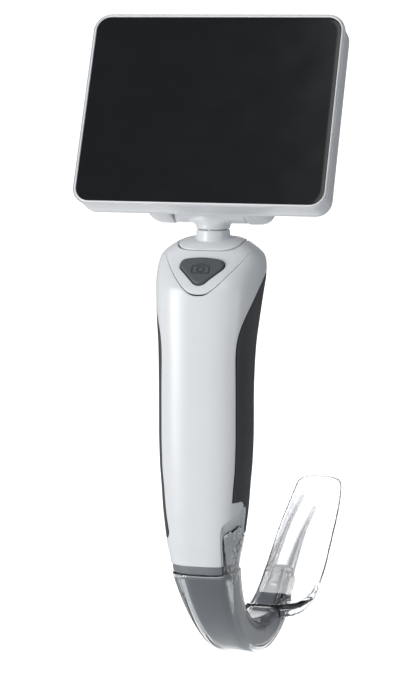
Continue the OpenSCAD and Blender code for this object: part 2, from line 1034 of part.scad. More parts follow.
// plan of the spatula and of the space inside its rim
function spatula_plan() = [
    [-5.2, 77.5], [-4.8, 88], [-4.4, 100], [-4.5, 114], [-4.1, 124], [-3.2, 134],
    [-2.4, tip_y - 3.4], [-1.2, tip_y - 1.6], [1, tip_y - 0.4], [4, tip_y],
    [9, tip_y - 0.1], [12.2, tip_y - 0.8], [14.2, tip_y - 2.2], [15.5, tip_y - 4.6],
    [16.9, 134], [17.6, 126], [18.4, 116], [18.8, 106], [18.6, 98], [18, 91],
    [16.8, 86], [15.2, 82.4], [12.6, 79.6], [9, 78], [4, 76.9], [0, 76.7]
];
function rim_inside() = [
    [-30, 78.4], [0, 78.1], [3.9, 78.4], [8.4, 79.4], [11.6, 80.8], [13.8, 83],
    [15.4, 86.5], [16.6, 91.3], [17.2, 98], [17.4, 106], [17, 116], [16.2, 126],
    [15.5, 134], [14.1, tip_y - 4.9], [13.6, 170], [-30, 170]
];

module plan_prism(points) {
    translate([0, 0, -60])
        linear_extrude(height = 100)
            polygon(points);
}

module spatula() {
    intersection() {
        side_prism(concat(plate_line(0, tip_y), reversed(plate_line(plate_t, tip_y))), -20, 30);
        plan_prism(spatula_plan());
    }
    intersection() {
        side_prism(concat(
            plate_line(0.3, tip_y),
            [plate_end(plate_t, tip_y)],
            reversed([for (k = [0:plate_steps]) plate_line(rim_h - 0.15 * k, tip_y)[k]])
        ), -20, 30);
        difference() {
            plan_prism(spatula_plan());
            plan_prism(rim_inside());
        }
    }
}

// two ribs under the plate, which carry on from the channel's walls
module blade_ribs() {
    for (rib = [[-3.6, 2, 1.1, tip_y - 6], [4.2, 7.4, 1.2, tip_y - 13]])
        intersection() {
            side_prism(concat(
                plate_line(0.6, rib[3]),
                [plate_end(plate_t + 0.3, rib[3])],
                [[106, arc_point(arm_out + 0.8, arm_end)[1] + 0.6]]
            ), -20, 30);
            plan_prism([
                [rib[0], 101], [rib[0] + rib[2], 101],
                [rib[1] + rib[2], tip_y], [rib[1], tip_y]
            ]);
        }
}

// tab that lies in the handle's pocket, with the flange under the collar
module blade_tab() {
    intersection() {
        handle_solid(blade_top - flange_t, 17.6, 0.1);
        side_prism([
            [-20, -2], [14, -2], [14, 12.4], [0, 12.4], [-0.9, 13.5], [-1.6, 16.4],
            [-5, 17.5], [-9.4, 15.4], [-11, 12.6], [-20, 12.6]
        ], pocket_x + tab_gap, 30);
    }
    handle_solid(blade_top - flange_t, blade_top, 0.1);
}

module blade_sheath() {
    color(clear)
        difference() {
            union() {
                difference() {
                    blade_loft(arm_start, arm_end + 1.3, 24);
                    block(-30, 30, -30, 40, blade_top, 40);
                }
                spatula();
                blade_ribs();
                blade_tab();
            }
            arm_loft(-74, arm_end + 0.4, blade_gap, 24);
        }
}

front_cover();
rear_grip();
top_cover();
neck_cap();
bottom_collar();
camera_arm();
camera_barrel();
camera_lens();
camera_window();
arm_leds();
camera_lead();
arm_seal();
chassis();
battery_cell();
battery_contacts();
handle_board();
push_switch();
handle_screws();
swivel_bush();
neck_yoke();
swivel_shaft();
shaft_ring();
front_frame();
cover_glass();
display_panel();
monitor_board();
rear_shell();
hinge_pin();
hinge_washers();
monitor_screws();
port_socket();
capture_button();
power_button();
port_cover();
blade_sheath();
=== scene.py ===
import json
import math
import bpy
import bmesh
import numpy as np
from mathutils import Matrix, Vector


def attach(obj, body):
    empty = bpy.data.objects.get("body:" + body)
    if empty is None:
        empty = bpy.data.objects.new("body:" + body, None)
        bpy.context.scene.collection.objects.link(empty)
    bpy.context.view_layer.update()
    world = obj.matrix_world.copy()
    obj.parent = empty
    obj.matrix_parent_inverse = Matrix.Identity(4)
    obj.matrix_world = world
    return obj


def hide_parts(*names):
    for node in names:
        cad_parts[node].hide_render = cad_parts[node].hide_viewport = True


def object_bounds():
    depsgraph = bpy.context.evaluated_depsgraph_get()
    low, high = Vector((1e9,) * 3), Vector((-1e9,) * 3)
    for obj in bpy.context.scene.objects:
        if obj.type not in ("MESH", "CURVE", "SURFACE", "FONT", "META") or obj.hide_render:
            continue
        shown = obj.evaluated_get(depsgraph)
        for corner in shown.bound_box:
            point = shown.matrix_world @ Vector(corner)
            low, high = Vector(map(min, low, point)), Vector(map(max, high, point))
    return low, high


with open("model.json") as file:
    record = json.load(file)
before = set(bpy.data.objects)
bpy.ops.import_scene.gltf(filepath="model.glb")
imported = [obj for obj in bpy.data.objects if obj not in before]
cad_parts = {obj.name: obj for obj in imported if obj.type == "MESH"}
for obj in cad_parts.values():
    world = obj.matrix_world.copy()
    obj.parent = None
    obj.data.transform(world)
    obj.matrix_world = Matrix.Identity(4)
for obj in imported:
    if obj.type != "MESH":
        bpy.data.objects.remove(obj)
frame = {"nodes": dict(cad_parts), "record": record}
cad_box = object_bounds()

MM = 0.001

# ------------------------------------------------------------------ sizes in mm, close to the CAD model's
# monitor: cover glass, the frame round it and where its middle is up the glass, back of the frame's wall
# and of the rear shell, lean of the glass, middle of the glass (back, up), and its screws (across, up the
# glass, radius)
GLASS_W, GLASS_H, GLASS_R = 89.7, 69.5, 5.0
FRAME_W, FRAME_H, FRAME_R = 91.0, 70.9, 5.7
FRAME_LOW = -0.2
FRAME_EDGE, REAR_BACK = 9.86, 12.5
LEAN = math.radians(24)
GLASS_AT = (2.1, 163.8)
SCREW_X, SCREW_UP, SCREW_R = 39.8, 29.95, 2.1
# power button (across, back from the glass) and outer face of the port's cover (across)
POWER_X, POWER_BACK, FLAP_OUT = 30.0, 4.4, 45.7
# hinge and neck: height of the pin, middle of the neck, and radii of the yoke's barrel, cheeks and neck
HINGE_Z, NECK_Y, BARREL_R, CHEEK_R, NECK_R = 130.2, 8.6, 7.2, 7.5, 6.0
# blade and arm: outside radius and middle of their arc, wall of the blade, gap, and angle of the arm's tip
ARC_R, ARC_Y, ARC_Z = 77.0, 62.2, 34.3
WALL, GAP = 1.4, 0.4
ARM_OUT = ARC_R - WALL - GAP
ARM_END = 36.0
# spatula: end and slope of its tip, radius, thickness and first angle of its bend
TIP_Y, TIP_SLOPE = 146.0, math.radians(33)
PLATE_R, PLATE_T, PLATE_START = 66.4, 1.8, 12.5
# handle: flat wall of the tab's pocket, depth of the pocket, and squareness of the sections
POCKET_X, STEP = 8.6, 1.9
SECTION_N = 2.9
# height, width, depth and middle of the handle's sections
SECTIONS = np.array([
    (0, 22.8, 20.5, -1), (5, 24.4, 21.5, -1), (10, 26.4, 23.2, -1), (16, 28, 24.5, -0.8),
    (23, 29.5, 26, -0.6), (31, 30.6, 27, -0.4), (39, 31.8, 28, -0.2), (51, 32.5, 28.5, 0),
    (62, 32.5, 28.5, 0), (72, 32.8, 29, 0.4), (81, 33.5, 30, 1.2), (89, 35, 31, 2.4),
    (95, 36.1, 32.2, 3.6), (101, 37.1, 33.4, 5.2), (104, 37.7, 32.4, 6.2), (107, 37.8, 30.4, 7.3),
    (109.5, 37.5, 27.5, 8.1), (112, 36.2, 23.9, 8.6), (114, 32.8, 20.8, 8.8),
    (115.4, 29.2, 18.2, 9.1), (116.4, 26.2, 15.8, 9.6), (117.2, 23.2, 12.8, 10.3), (117.9, 19.4, 9.4, 11.1),
    (118.4, 14, 5.6, 11.8), (118.55, 9, 3, 12)])


# ------------------------------------------------------------------ curves
def curve_through(xs, ys, x):
    """Smooth curve through points that keeps to their rises and falls."""
    xs, ys = np.asarray(xs, float), np.asarray(ys, float)
    h = np.diff(xs)
    d = np.diff(ys) / h
    m = np.zeros_like(ys)
    same = d[:-1] * d[1:] > 0
    m[1:-1][same] = 2 * d[:-1][same] * d[1:][same] / (d[:-1][same] + d[1:][same])
    m[0], m[-1] = d[0], d[-1]
    i = np.clip(np.searchsorted(xs, x) - 1, 0, len(h) - 1)
    t = np.clip((x - xs[i]) / h[i], 0, 1)
    a, b = ys[i], ys[i + 1]
    return (a * (1 + 2 * t) * (1 - t) ** 2 + h[i] * m[i] * t * (1 - t) ** 2
            + b * t * t * (3 - 2 * t) + h[i] * m[i + 1] * t * t * (t - 1))


def handle_size(z):
    """Width, depth and middle of the handle's sections at a height."""
    return [curve_through(SECTIONS[:, 0], SECTIONS[:, k], np.asarray(z, float)) for k in (1, 2, 3)]


def even_outline(power, count):
    """Points spaced evenly round a superellipse of half sizes 1 and 1."""
    t = np.linspace(0, 2 * math.pi, 20001)
    c, s = np.cos(t), np.sin(t)
    p = np.stack([np.sign(c) * abs(c) ** (2 / power), np.sign(s) * abs(s) ** (2 / power)], 1)
    run = np.concatenate([[0], np.cumsum(np.linalg.norm(np.diff(p, axis=0), axis=1))])
    at = np.linspace(0, run[-1], count, endpoint=False)
    return np.stack([np.interp(at, run, p[:, 0]), np.interp(at, run, p[:, 1])], 1)


def filleted(points, radius, steps=6):
    """Closed outline with its corners rounded to a radius, or to what its edges leave room for."""
    p = np.asarray(points, float)
    out = []
    for k in range(len(p)):
        a, b, c = p[k - 1], p[k], p[(k + 1) % len(p)]
        u, v = (a - b) / np.linalg.norm(a - b), (c - b) / np.linalg.norm(c - b)
        half = math.acos(np.clip(u @ v, -1, 1)) / 2
        reach = min(radius / math.tan(half), 0.48 * np.linalg.norm(a - b), 0.48 * np.linalg.norm(c - b))
        r = reach * math.tan(half)
        centre = b + (u + v) / np.linalg.norm(u + v) * r / math.sin(half)
        start, end = b + u * reach - centre, b + v * reach - centre
        a0 = math.atan2(start[1], start[0])
        swing = (math.atan2(end[1], end[0]) - a0 + math.pi) % (2 * math.pi) - math.pi
        for t in np.linspace(0, 1, steps):
            out.append(centre + r * np.array([math.cos(a0 + swing * t), math.sin(a0 + swing * t)]))
    return np.array(out)


def smooth_closed(points, per=6):
    """Smooth closed curve through the points."""
    p = np.asarray(points, float)
    out = []
    for i in range(len(p)):
        a, b, c, d = p[i - 1], p[i], p[(i + 1) % len(p)], p[(i + 2) % len(p)]
        for t in np.arange(per) / per:
            out.append(0.5 * (2 * b + (c - a) * t + (2 * a - 5 * b + 4 * c - d) * t * t
                              + (3 * b - a - 3 * c + d) * t ** 3))
    return np.array(out)


def outline_distance(points, p):
    """Distance of 2D points from a closed outline, above 0 inside it."""
    a = np.asarray(points, float)
    b = np.roll(a, -1, axis=0)
    best = np.full(len(p), 1e9)
    inside = np.zeros(len(p), bool)
    for (ax, ay), (bx, by) in zip(a, b):
        ex, ey = bx - ax, by - ay
        t = np.clip(((p[:, 0] - ax) * ex + (p[:, 1] - ay) * ey) / (ex * ex + ey * ey + 1e-12), 0, 1)
        best = np.minimum(best, np.hypot(p[:, 0] - ax - t * ex, p[:, 1] - ay - t * ey))
        with np.errstate(divide="ignore", invalid="ignore"):  # level edges divide by 0 and are masked
            inside ^= ((ay > p[:, 1]) != (by > p[:, 1])) & (p[:, 0] < ax + (p[:, 1] - ay) * ex / ey)
    return np.where(inside, best, -best)


def both(a, b, r):
    """Inside distance of two overlapping regions, with their corner rounded by r."""
    corner = r - np.hypot(np.maximum(r - a, 0), np.maximum(r - b, 0))
    return np.where((a > r) & (b > r), np.minimum(a, b), corner)


# ------------------------------------------------------------------ meshes
def make(name, verts, faces, material, smooth=40.0):
    """Object from points in mm, in the row frame."""
    mesh = bpy.data.meshes.new(name)
    mesh.from_pydata((np.asarray(verts, float) * MM).tolist(), [], [list(map(int, f)) for f in faces])
    mesh.validate()
    bm = bmesh.new()
    bm.from_mesh(mesh)
    bmesh.ops.recalc_face_normals(bm, faces=bm.faces[:])
    bm.to_mesh(mesh)
    bm.free()
    piece = bpy.data.objects.new(name, mesh)
    bpy.context.scene.collection.objects.link(piece)
    mesh.materials.append(material)
    shade(piece, smooth)
    return piece


def shade(piece, angle=40.0):
    """Smooth shading, with edges sharper than an angle left sharp."""
    mesh = piece.data
    mesh.polygons.foreach_set("use_smooth", [True] * len(mesh.polygons))
    if angle < 180:
        mesh.set_sharp_from_angle(angle=math.radians(angle))
    mesh.update()


def belongs(piece, body, slot, *nodes):
    """Says which body a piece moves with and the CAD nodes that it replaces; slot is not used."""
    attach(piece, body)
    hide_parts(*nodes)


def loft(rings, close_ends=True, closed=True):
    """Points and faces of rings that hold the same number of points."""
    n = len(rings[0])
    verts = np.concatenate([np.asarray(r, float) for r in rings])
    faces = []
    for k in range(len(rings) - 1):
        for i in range(n if closed else n - 1):
            j = (i + 1) % n
            faces.append((k * n + i, k * n + j, (k + 1) * n + j, (k + 1) * n + i))
    if close_ends:
        faces.append(tuple(range(n - 1, -1, -1)))
        faces.append(tuple((len(rings) - 1) * n + i for i in range(n)))
    return verts, faces


def joined(*parts):
    """One list of points and one of faces from those of several parts."""
    verts, faces, at = [], [], 0
    for v, f in parts:
        verts.append(np.asarray(v, float))
        faces += [tuple(i + at for i in one) for one in f]
        at += len(v)
    return np.concatenate(verts), faces


def triangles(faces):
    """Faces split into triangles that fan out from their first point."""
    out = []
    for f in faces:
        for k in range(1, len(f) - 1):
            out.append((f[0], f[k], f[k + 1]))
    return np.array(out)


def keep_inside(verts, tris, field):
    """Cuts a triangle mesh exactly where the field is 0 and keeps the part above 0."""
    g = np.where(abs(field) < 1e-6, 1e-6, field)
    up = g > 0
    count = up[tris].sum(axis=1)
    out = [tris[count == 3]]
    extra, made, new = [], {}, []

    def middle(a, b):
        key = (min(a, b), max(a, b))
        if key not in made:
            t = g[a] / (g[a] - g[b])
            made[key] = len(verts) + len(extra)
            extra.append(verts[a] + (verts[b] - verts[a]) * t)
        return made[key]

    for f in tris[(count == 1) | (count == 2)]:
        k = [i for i in range(3) if up[f[i]] == (up[f].sum() == 1)][0]
        a, b, c = f[k], f[(k + 1) % 3], f[(k + 2) % 3]
        ab, ca = middle(a, b), middle(a, c)
        if up[a]:
            new.append((a, ab, ca))
        else:
            new.append((ab, b, c))
            new.append((ab, c, ca))
    if new:
        out.append(np.array(new))
    tris = np.concatenate(out)
    verts = np.concatenate([verts, np.array(extra)]) if extra else verts
    used, back = np.unique(tris, return_inverse=True)
    return verts[used], back.reshape(-1, 3)


def vertex_normals(verts, tris):
    """Unit normals at the points of a triangle mesh."""
    n = np.cross(verts[tris[:, 1]] - verts[tris[:, 0]], verts[tris[:, 2]] - verts[tris[:, 0]])
    out = np.zeros_like(verts)
    for k in range(3):
        np.add.at(out, tris[:, k], n)
    return out / (np.linalg.norm(out, axis=1, keepdims=True) + 1e-12)


def closed_panel(verts, tris, radius, depth):
    """Closed panel from its outer skin: edges rolled over with a radius, sides, and an inner skin."""
    normal = vertex_normals(verts, tris)
    edges = np.concatenate([tris[:, [0, 1]], tris[:, [1, 2]], tris[:, [2, 0]]])
    there = set(map(tuple, edges.tolist()))
    follow = {a: b for a, b in there if (b, a) not in there}
    inner = verts - normal * (radius + depth)
    rows, faces, seen = [verts, inner], [tuple(t) for t in tris], set()
    faces += [tuple(t[::-1] + len(verts)) for t in tris]
    at = 2 * len(verts)
    for start in list(follow):
        if start in seen:
            continue
        chain = []
        a = start
        while a in follow and a not in seen:
            seen.add(a)
            chain.append(a)
            a = follow[a]
        if len(chain) < 8 or a != start:
            continue
        p, n = verts[chain], normal[chain]
        out = np.cross(np.roll(p, -1, 0) - np.roll(p, 1, 0), n)
        for _ in range(3):
            out /= np.linalg.norm(out, axis=1, keepdims=True) + 1e-12
            out = out + np.roll(out, 1, 0) + np.roll(out, -1, 0)
        out -= n * (out * n).sum(1, keepdims=True)
        out /= np.linalg.norm(out, axis=1, keepdims=True) + 1e-12
        # rings over the rounded edge, then down the side to the depth of the inner skin
        sides = [p + out * radius * math.sin(s) - n * radius * (1 - math.cos(s))
                 for s in np.radians([22, 45, 68, 90])]
        sides.append(p + out * radius - n * (radius + depth))
        row = list(chain)
        for ring in sides + [None]:
            if ring is None:
                low = [c + len(verts) for c in chain]
            else:
                rows.append(ring)
                low = list(range(at, at + len(chain)))
                at += len(chain)
            for i in range(len(chain)):
                j = (i + 1) % len(chain)
                faces.append((row[j], row[i], low[i], low[j]))
            row = low
    return np.concatenate(rows), faces


def thick_sheet(rows, thickness):
    """Closed slab from a grid of points, thickened away from its normals."""
    n, m = len(rows), len(rows[0])
    v, f = loft(rows, close_ends=False, closed=False)
    back = v - vertex_normals(v, triangles(f)) * thickness
    ring = list(range(m)) + [k * m + m - 1 for k in range(1, n)]
    ring += [(n - 1) * m + i for i in range(m - 2, -1, -1)] + [k * m for k in range(n - 2, 0, -1)]
    faces = f + [tuple(i + n * m for i in g[::-1]) for g in f]
    faces += [(ring[k - 1], ring[k], ring[k] + n * m, ring[k - 1] + n * m) for k in range(len(ring))]
    return np.concatenate([v, back]), faces


def solidified(name, parts, size, smooth, material):
    """One watertight skin round overlapping closed parts, remeshed at a size in mm."""
    piece = make(name, *joined(*parts), material)
    step = piece.modifiers.new("remesh", "REMESH")
    step.mode = "VOXEL"
    step.voxel_size = size * MM
    if smooth:
        soft = piece.modifiers.new("smooth", "SMOOTH")
        soft.factor = 0.5
        soft.iterations = smooth
    applied(piece)
    shade(piece, 180)
    return piece


def applied(piece):
    """Turns the piece's modifiers into its mesh."""
    graph = bpy.context.evaluated_depsgraph_get()
    mesh = bpy.data.meshes.new_from_object(piece.evaluated_get(graph))
    piece.modifiers.clear()
    piece.data = mesh
    return piece


def combine(piece, operation, tools):
    """Applies a boolean with each of the closed meshes to a piece."""
    for tool in tools:
        other = make("tool", *tool, piece.data.materials[0])
        step = piece.modifiers.new("boolean", "BOOLEAN")
        step.operation, step.solver, step.object = operation, "EXACT", other
        applied(piece)
        bpy.data.objects.remove(other, do_unlink=True)


def combined(mesh, operation, tools):
    """The same for a closed mesh, given and returned as points in mm and faces."""
    piece = make("block", *mesh, clear)
    combine(piece, operation, tools)
    verts = np.array([p.co[:] for p in piece.data.vertices]) / MM
    faces = [tuple(p.vertices) for p in piece.data.polygons]
    bpy.data.objects.remove(piece, do_unlink=True)
    return verts, faces


def prism(points, low, high, axis):
    """Closed prism of a 2D outline: in Y and Z for axis x, and in X and Y for axis z."""
    p = np.asarray(points, float)
    rings = []
    for h in (low, high):
        full = np.full(len(p), float(h))
        rings.append(np.stack([full, p[:, 0], p[:, 1]] if axis == "x" else [p[:, 0], p[:, 1], full], 1))
    area = (p[:, 0] * np.roll(p[:, 1], -1) - np.roll(p[:, 0], -1) * p[:, 1]).sum()
    if area < 0:
        rings = [r[::-1] for r in rings]
    return loft(rings)


def rod(centre, axis, radius, low, high, sides=48, edge=0.0):
    """Closed rod along X, Y or Z with its ends rounded by edge."""
    turn = np.linspace(0, 2 * math.pi, sides, endpoint=False)
    angles = np.radians([90, 60, 30, 0] if edge else [0])
    bend = [(edge * (1 - math.sin(a)), radius - edge * (1 - math.cos(a))) for a in angles]
    rows = [(low + h, r) for h, r in bend] + [(high - h, r) for h, r in bend[::-1]]
    k = "xyz".index(axis)
    u, v = [(1, 2), (2, 0), (0, 1)][k]
    rings = []
    for h, r in rows:
        ring = np.zeros((sides, 3))
        ring[:, u] = centre[u] + r * np.cos(turn)
        ring[:, v] = centre[v] + r * np.sin(turn)
        ring[:, k] = h
        rings.append(ring)
    return loft(rings)


def wire(path, radius, sides=10, closed=True):
    """Round wire along a path of 3D points."""
    p = np.asarray(path, float)
    fore = np.roll(p, -1, 0) - np.roll(p, 1, 0)
    if not closed:
        fore[0], fore[-1] = p[1] - p[0], p[-1] - p[-2]
    fore /= np.linalg.norm(fore, axis=1, keepdims=True)
    mean = np.linalg.svd(p - p.mean(0))[2][2]
    side = np.cross(fore, mean)
    side /= np.linalg.norm(side, axis=1, keepdims=True)
    a = np.linspace(0, 2 * math.pi, sides, endpoint=False)
    rings = [p[i] + radius * (np.outer(np.cos(a), side[i]) + np.outer(np.sin(a), np.cross(side[i], fore[i])))
             for i in range(len(p))]
    if closed:
        rings.append(rings[0])
    return loft(rings, close_ends=not closed)


# ------------------------------------------------------------------ materials
def material(name, colour, rough, vary=0.03, grain=900.0, bump=0.02, rough_vary=0.05, coarse=60.0, **more):
    """Moulded surface: slow colour and gloss variation, with a fine grain in its bump."""
    mat = bpy.data.materials.new(name)
    mat.use_nodes = True
    tree = mat.node_tree
    shader = tree.nodes["Principled BSDF"]
    place = tree.nodes.new("ShaderNodeTexCoord")

    def noise(scale, detail=3.0):
        node = tree.nodes.new("ShaderNodeTexNoise")
        node.inputs["Scale"].default_value = scale
        node.inputs["Detail"].default_value = detail
        tree.links.new(place.outputs["Object"], node.inputs["Vector"])
        return node

    def spread(node, low, high):
        ramp = tree.nodes.new("ShaderNodeMapRange")
        ramp.inputs["From Min"].default_value = 0.3
        ramp.inputs["From Max"].default_value = 0.7
        ramp.inputs["To Min"].default_value = low
        ramp.inputs["To Max"].default_value = high
        tree.links.new(node.outputs["Fac"], ramp.inputs["Value"])
        return ramp

    slow, fine = noise(coarse), noise(grain, 2.0)
    ramp = tree.nodes.new("ShaderNodeValToRGB")
    ramp.color_ramp.elements[0].position = 0.3
    ramp.color_ramp.elements[1].position = 0.7
    ramp.color_ramp.elements[0].color = [c * (1 - vary) for c in colour] + [1]
    ramp.color_ramp.elements[1].color = [min(1, c * (1 + vary)) for c in colour] + [1]
    tree.links.new(slow.outputs["Fac"], ramp.inputs["Fac"])
    tree.links.new(ramp.outputs["Color"], shader.inputs["Base Color"])
    tree.links.new(spread(noise(coarse * 4), rough - rough_vary, rough + rough_vary).outputs["Result"],
                   shader.inputs["Roughness"])
    dent = tree.nodes.new("ShaderNodeBump")
    dent.inputs["Strength"].default_value = 1.0
    dent.inputs["Distance"].default_value = bump * MM
    tree.links.new(fine.outputs["Fac"], dent.inputs["Height"])
    tree.links.new(dent.outputs["Normal"], shader.inputs["Normal"])
    for key, value in more.items():
        shader.inputs[key.replace("_", " ")].default_value = value
    return mat


white = material("white_plastic", (0.77, 0.785, 0.8), 0.29, vary=0.01, grain=1600, bump=0.008,
                 rough_vary=0.012, Coat_Weight=0.15, Coat_Roughness=0.25)
# lip round the glass: a glossier white plastic whose brighter colour is a painted highlight
glossy_lip_highlight = material("polished_lip_painted_highlight", (0.93, 0.935, 0.94), 0.2, vary=0.01, grain=1600, bump=0.004,
               rough_vary=0.012)
dark = material("dark_grip", (0.05, 0.051, 0.055), 0.55, vary=0.08, grain=2600, bump=0.05, rough_vary=0.06)
grey = material("grey_plastic", (0.215, 0.232, 0.265), 0.38, vary=0.04, grain=1500, bump=0.015)
collar_grey = material("collar_grey", (0.19, 0.2, 0.215), 0.42, vary=0.05, grain=1500, bump=0.02)
glass_black = material("black_glass", (0.006, 0.0072, 0.0085), 0.13, vary=0.06, grain=300, bump=0.0006,
                       rough_vary=0.02, coarse=25)
button_grey = material("button_grey", (0.088, 0.098, 0.104), 0.5, vary=0.05, grain=2400, bump=0.02)
sign_grey = material("sign_grey", (0.035, 0.04, 0.043), 0.55, vary=0.05, grain=2400, bump=0.02)
power_grey = material("power_grey", (0.25, 0.27, 0.29), 0.45, vary=0.05, grain=1800, bump=0.02)
rubber = material("flap_rubber", (0.14, 0.145, 0.15), 0.62, vary=0.08, grain=2000, bump=0.04)
black = material("black_plastic", (0.02, 0.02, 0.022), 0.5, vary=0.1, grain=1200, bump=0.03)
steel = material("steel", (0.58, 0.59, 0.61), 0.3, vary=0.05, grain=2500, bump=0.01, Metallic=1.0)
board = material("board_green", (0.015, 0.13, 0.06), 0.4, vary=0.35, grain=700, bump=0.05, coarse=260)
sleeve = material("cell_wrap", (0.03, 0.13, 0.38), 0.3, vary=0.06, grain=500, bump=0.02)
bush = material("bush_plastic", (0.7, 0.67, 0.57), 0.45, vary=0.04, grain=900, bump=0.02)
led = material("led_lens", (0.9, 0.88, 0.72), 0.12, vary=0.1, grain=500, bump=0.01, coarse=900)
lens = material("lens_glass", (0.01, 0.018, 0.05), 0.05, vary=0.2, grain=300, bump=0.001, rough_vary=0.02)
# the blade: clear faces, slightly rippled ones on the tab and near rim, and ribs darkened as painted shade
clear = material("clear_plastic", (0.965, 0.98, 0.99), 0.035, vary=0.006, grain=220, bump=0.008,
                 rough_vary=0.02, coarse=90, Transmission_Weight=1.0, IOR=1.5)
ripple = material("clear_ripple", (0.955, 0.97, 0.98), 0.04, vary=0.01, grain=420, bump=0.35,
                  rough_vary=0.02, coarse=90, Transmission_Weight=1.0, IOR=1.5)
# painted shade: dark clear plastic on the ribs stands in for the dark refractions seen through them
edge = material("clear_rib_painted_shade", (0.17, 0.175, 0.2), 0.045, vary=0.05, grain=420, bump=0.2, rough_vary=0.02,
                coarse=90, Transmission_Weight=1.0, IOR=1.5)
window = material("window_glass", (0.95, 0.97, 1.0), 0.03, vary=0.01, grain=300, bump=0.001, rough_vary=0.015,
                  Transmission_Weight=1.0, IOR=1.45)

# finish of the CAD nodes, by their material slots
FINISH = {
    "white_plastic": white, "dark_grip": dark, "grey_plastic": grey, "black_glass": glass_black,
    "clear_plastic": window, "steel": steel, "black_plastic": black, "board_green": board,
    "cell_wrap": sleeve, "bush_plastic": bush, "button_grey": button_grey, "flap_rubber": rubber,
    "led_lens": led, "lens_glass": lens,
}
for part in frame["record"]["subparts"]:
    node = frame["nodes"].get(part["node"])
    if node is not None:
        node.data.materials.clear()
        node.data.materials.append(FINISH[part["material_slot"]])

# ------------------------------------------------------------------ handle
OUTLINE = even_outline(SECTION_N, 264)
turn = np.linspace(0, 2 * math.pi, 96, endpoint=False)
CIRCLE = np.stack([np.cos(turn), np.sin(turn)], 1)


def handle_rings(levels, inset=0.0, outline=OUTLINE):
    """Sections of the handle at some heights, set in from its surface."""
    rings = []
    for z in levels:
        w, d, y = handle_size(z)
        rings.append(np.stack([outline[:, 0] * (w / 2 - inset), outline[:, 1] * (d / 2 - inset) + y,
                               np.full(len(outline), float(z))], 1))
    return rings


def grip_edge(z):
    """How far back the grip's front edge is at a height, and its slope: straight, then curving back."""
    rise = np.clip((z - 72) / 34, 0, None)
    return -10.2 + 22 * rise ** 3.3, 22 * 3.3 / 34 * rise ** 2.3


# Each field below is the distance of the skin's points from an outline, above 0 inside it.
def grip_field(v):
    """The dark grip: sides and back of the handle."""
    low, high, corner = 12.0, 105.8, 3.0
    x, y, z = v.T
    edge, slope = grip_edge(z)
    d = both((y - edge) / np.sqrt(1 + slope ** 2), z - low, corner)
    d = both(d, high - z, 1.0)
    # on the right, the white front reaches back above the pocket with a rounded step
    step_y, step_z, round_by = -3.7, 26.3, 2.6
    q = np.stack([y - step_y, z - step_z], 1) + round_by
    outside = np.hypot(np.maximum(q[:, 0], 0), np.maximum(q[:, 1], 0))
    step = outside - round_by + np.minimum(q.max(axis=1), 0)
    return np.where(x > 0, np.minimum(d, step), d)


POCKET = filleted([(-40, -6), (40, -6), (40, 13), (1, 13), (1, 23.6), (-4.5, 23.6), (-8.8, 21.8),
                   (-11.6, 18.3), (-13, 13), (-40, 13)], 3)


def pocket_field(v):
    """The pocket of the blade's tab, on the right at the bottom."""
    return both(v[:, 0] - POCKET_X, outline_distance(POCKET, v[:, 1:]), 0.8)


def seam_field(v):
    """The top cover, with a V-shaped seam at the front and a level one at the back."""
    x, y, z = v.T
    height = curve_through([0, 1.5, 3, 4.6, 6.2, 10.6, 14.6, 16.2, 17, 18.5],
                           [99.4, 99.5, 99.9, 100.9, 102.3, 107, 112, 115, 119, 126], abs(x))
    d = (z - height) * 0.72
    return np.where(y > NECK_Y, np.minimum(d, z - 107.2), d)


def cap_field(v):
    """The oval cap round the neck."""
    half_x, half_y, power = 11.7, 9.9, 3.6
    x, y = v[:, 0] / half_x, (v[:, 1] - NECK_Y) / half_y
    d = (1 - (abs(x) ** power + abs(y) ** power) ** (1 / power)) * half_y
    return np.where(v[:, 2] > 108, d, -5)


# the button's face: where it is, up its slope, and out of it
BUTTON_AT = np.array([0, -7.9, 107.2])
TILT = math.radians(38)
BUTTON_UP = np.array([0, math.sin(TILT), math.cos(TILT)])
BUTTON_OUT = np.array([0, -math.cos(TILT), math.sin(TILT)])


def button_outline(grow=0.0):
    """Rounded triangle on the button's face: three corner circles and a bowed top."""
    corners = [(-5.5, 3.0, 2.4, 100, 222), (0, -1.95, 3.0, 222, 318), (5.5, 3.0, 2.4, -42, 80)]
    pts = []
    for x, y, r, a0, a1 in corners:
        for a in np.radians(np.linspace(a0, a1, 14)):
            pts.append((x + (r + grow) * math.cos(a), y + (r + grow) * math.sin(a)))
    for t in np.linspace(0.1, 0.9, 9):
        pts.append((5.9 - 11.8 * t, 5.36 + grow + 0.62 * 4 * t * (1 - t)))
    return np.array(pts)


def on_button(points, lift):
    """Points of the button's face, lifted out of it."""
    p = np.asarray(points, float)
    return BUTTON_AT + p[:, :1] * np.array([1, 0, 0]) + p[:, 1:] * BUTTON_UP + lift * BUTTON_OUT


def button_field(v, grow):
    """The hole of the capture button, grown by its gap."""
    q = v - BUTTON_AT
    flat = np.stack([q[:, 0], q @ BUTTON_UP], 1)
    near = (abs(flat[:, 0]) < 14) & (abs(flat[:, 1]) < 12) & (v[:, 1] < NECK_Y)
    out = np.full(len(v), -9.0)
    out[near] = outline_distance(button_outline(grow), flat[near])
    return out


# the whole skin of the handle, finer towards its crown, which the panels are cut from
levels = np.concatenate([np.linspace(3.3, 106, 180), np.linspace(106.4, 115, 30),
                         np.linspace(115.15, 118.54, 22)])
rings = handle_rings(levels)
last, middle = rings[-1], np.array([0, 12, 118.55])
for s in (0.85, 0.65, 0.4, 0.15):
    rings.append(middle + (last - middle) * s + np.array([0, 0, 0.03 * (1 - s)]))
skin, skin_faces = loft(rings, close_ends=False)
skin_faces.append(tuple(len(skin) - len(OUTLINE) + i for i in range(len(OUTLINE))))
skin_tris = triangles(skin_faces)

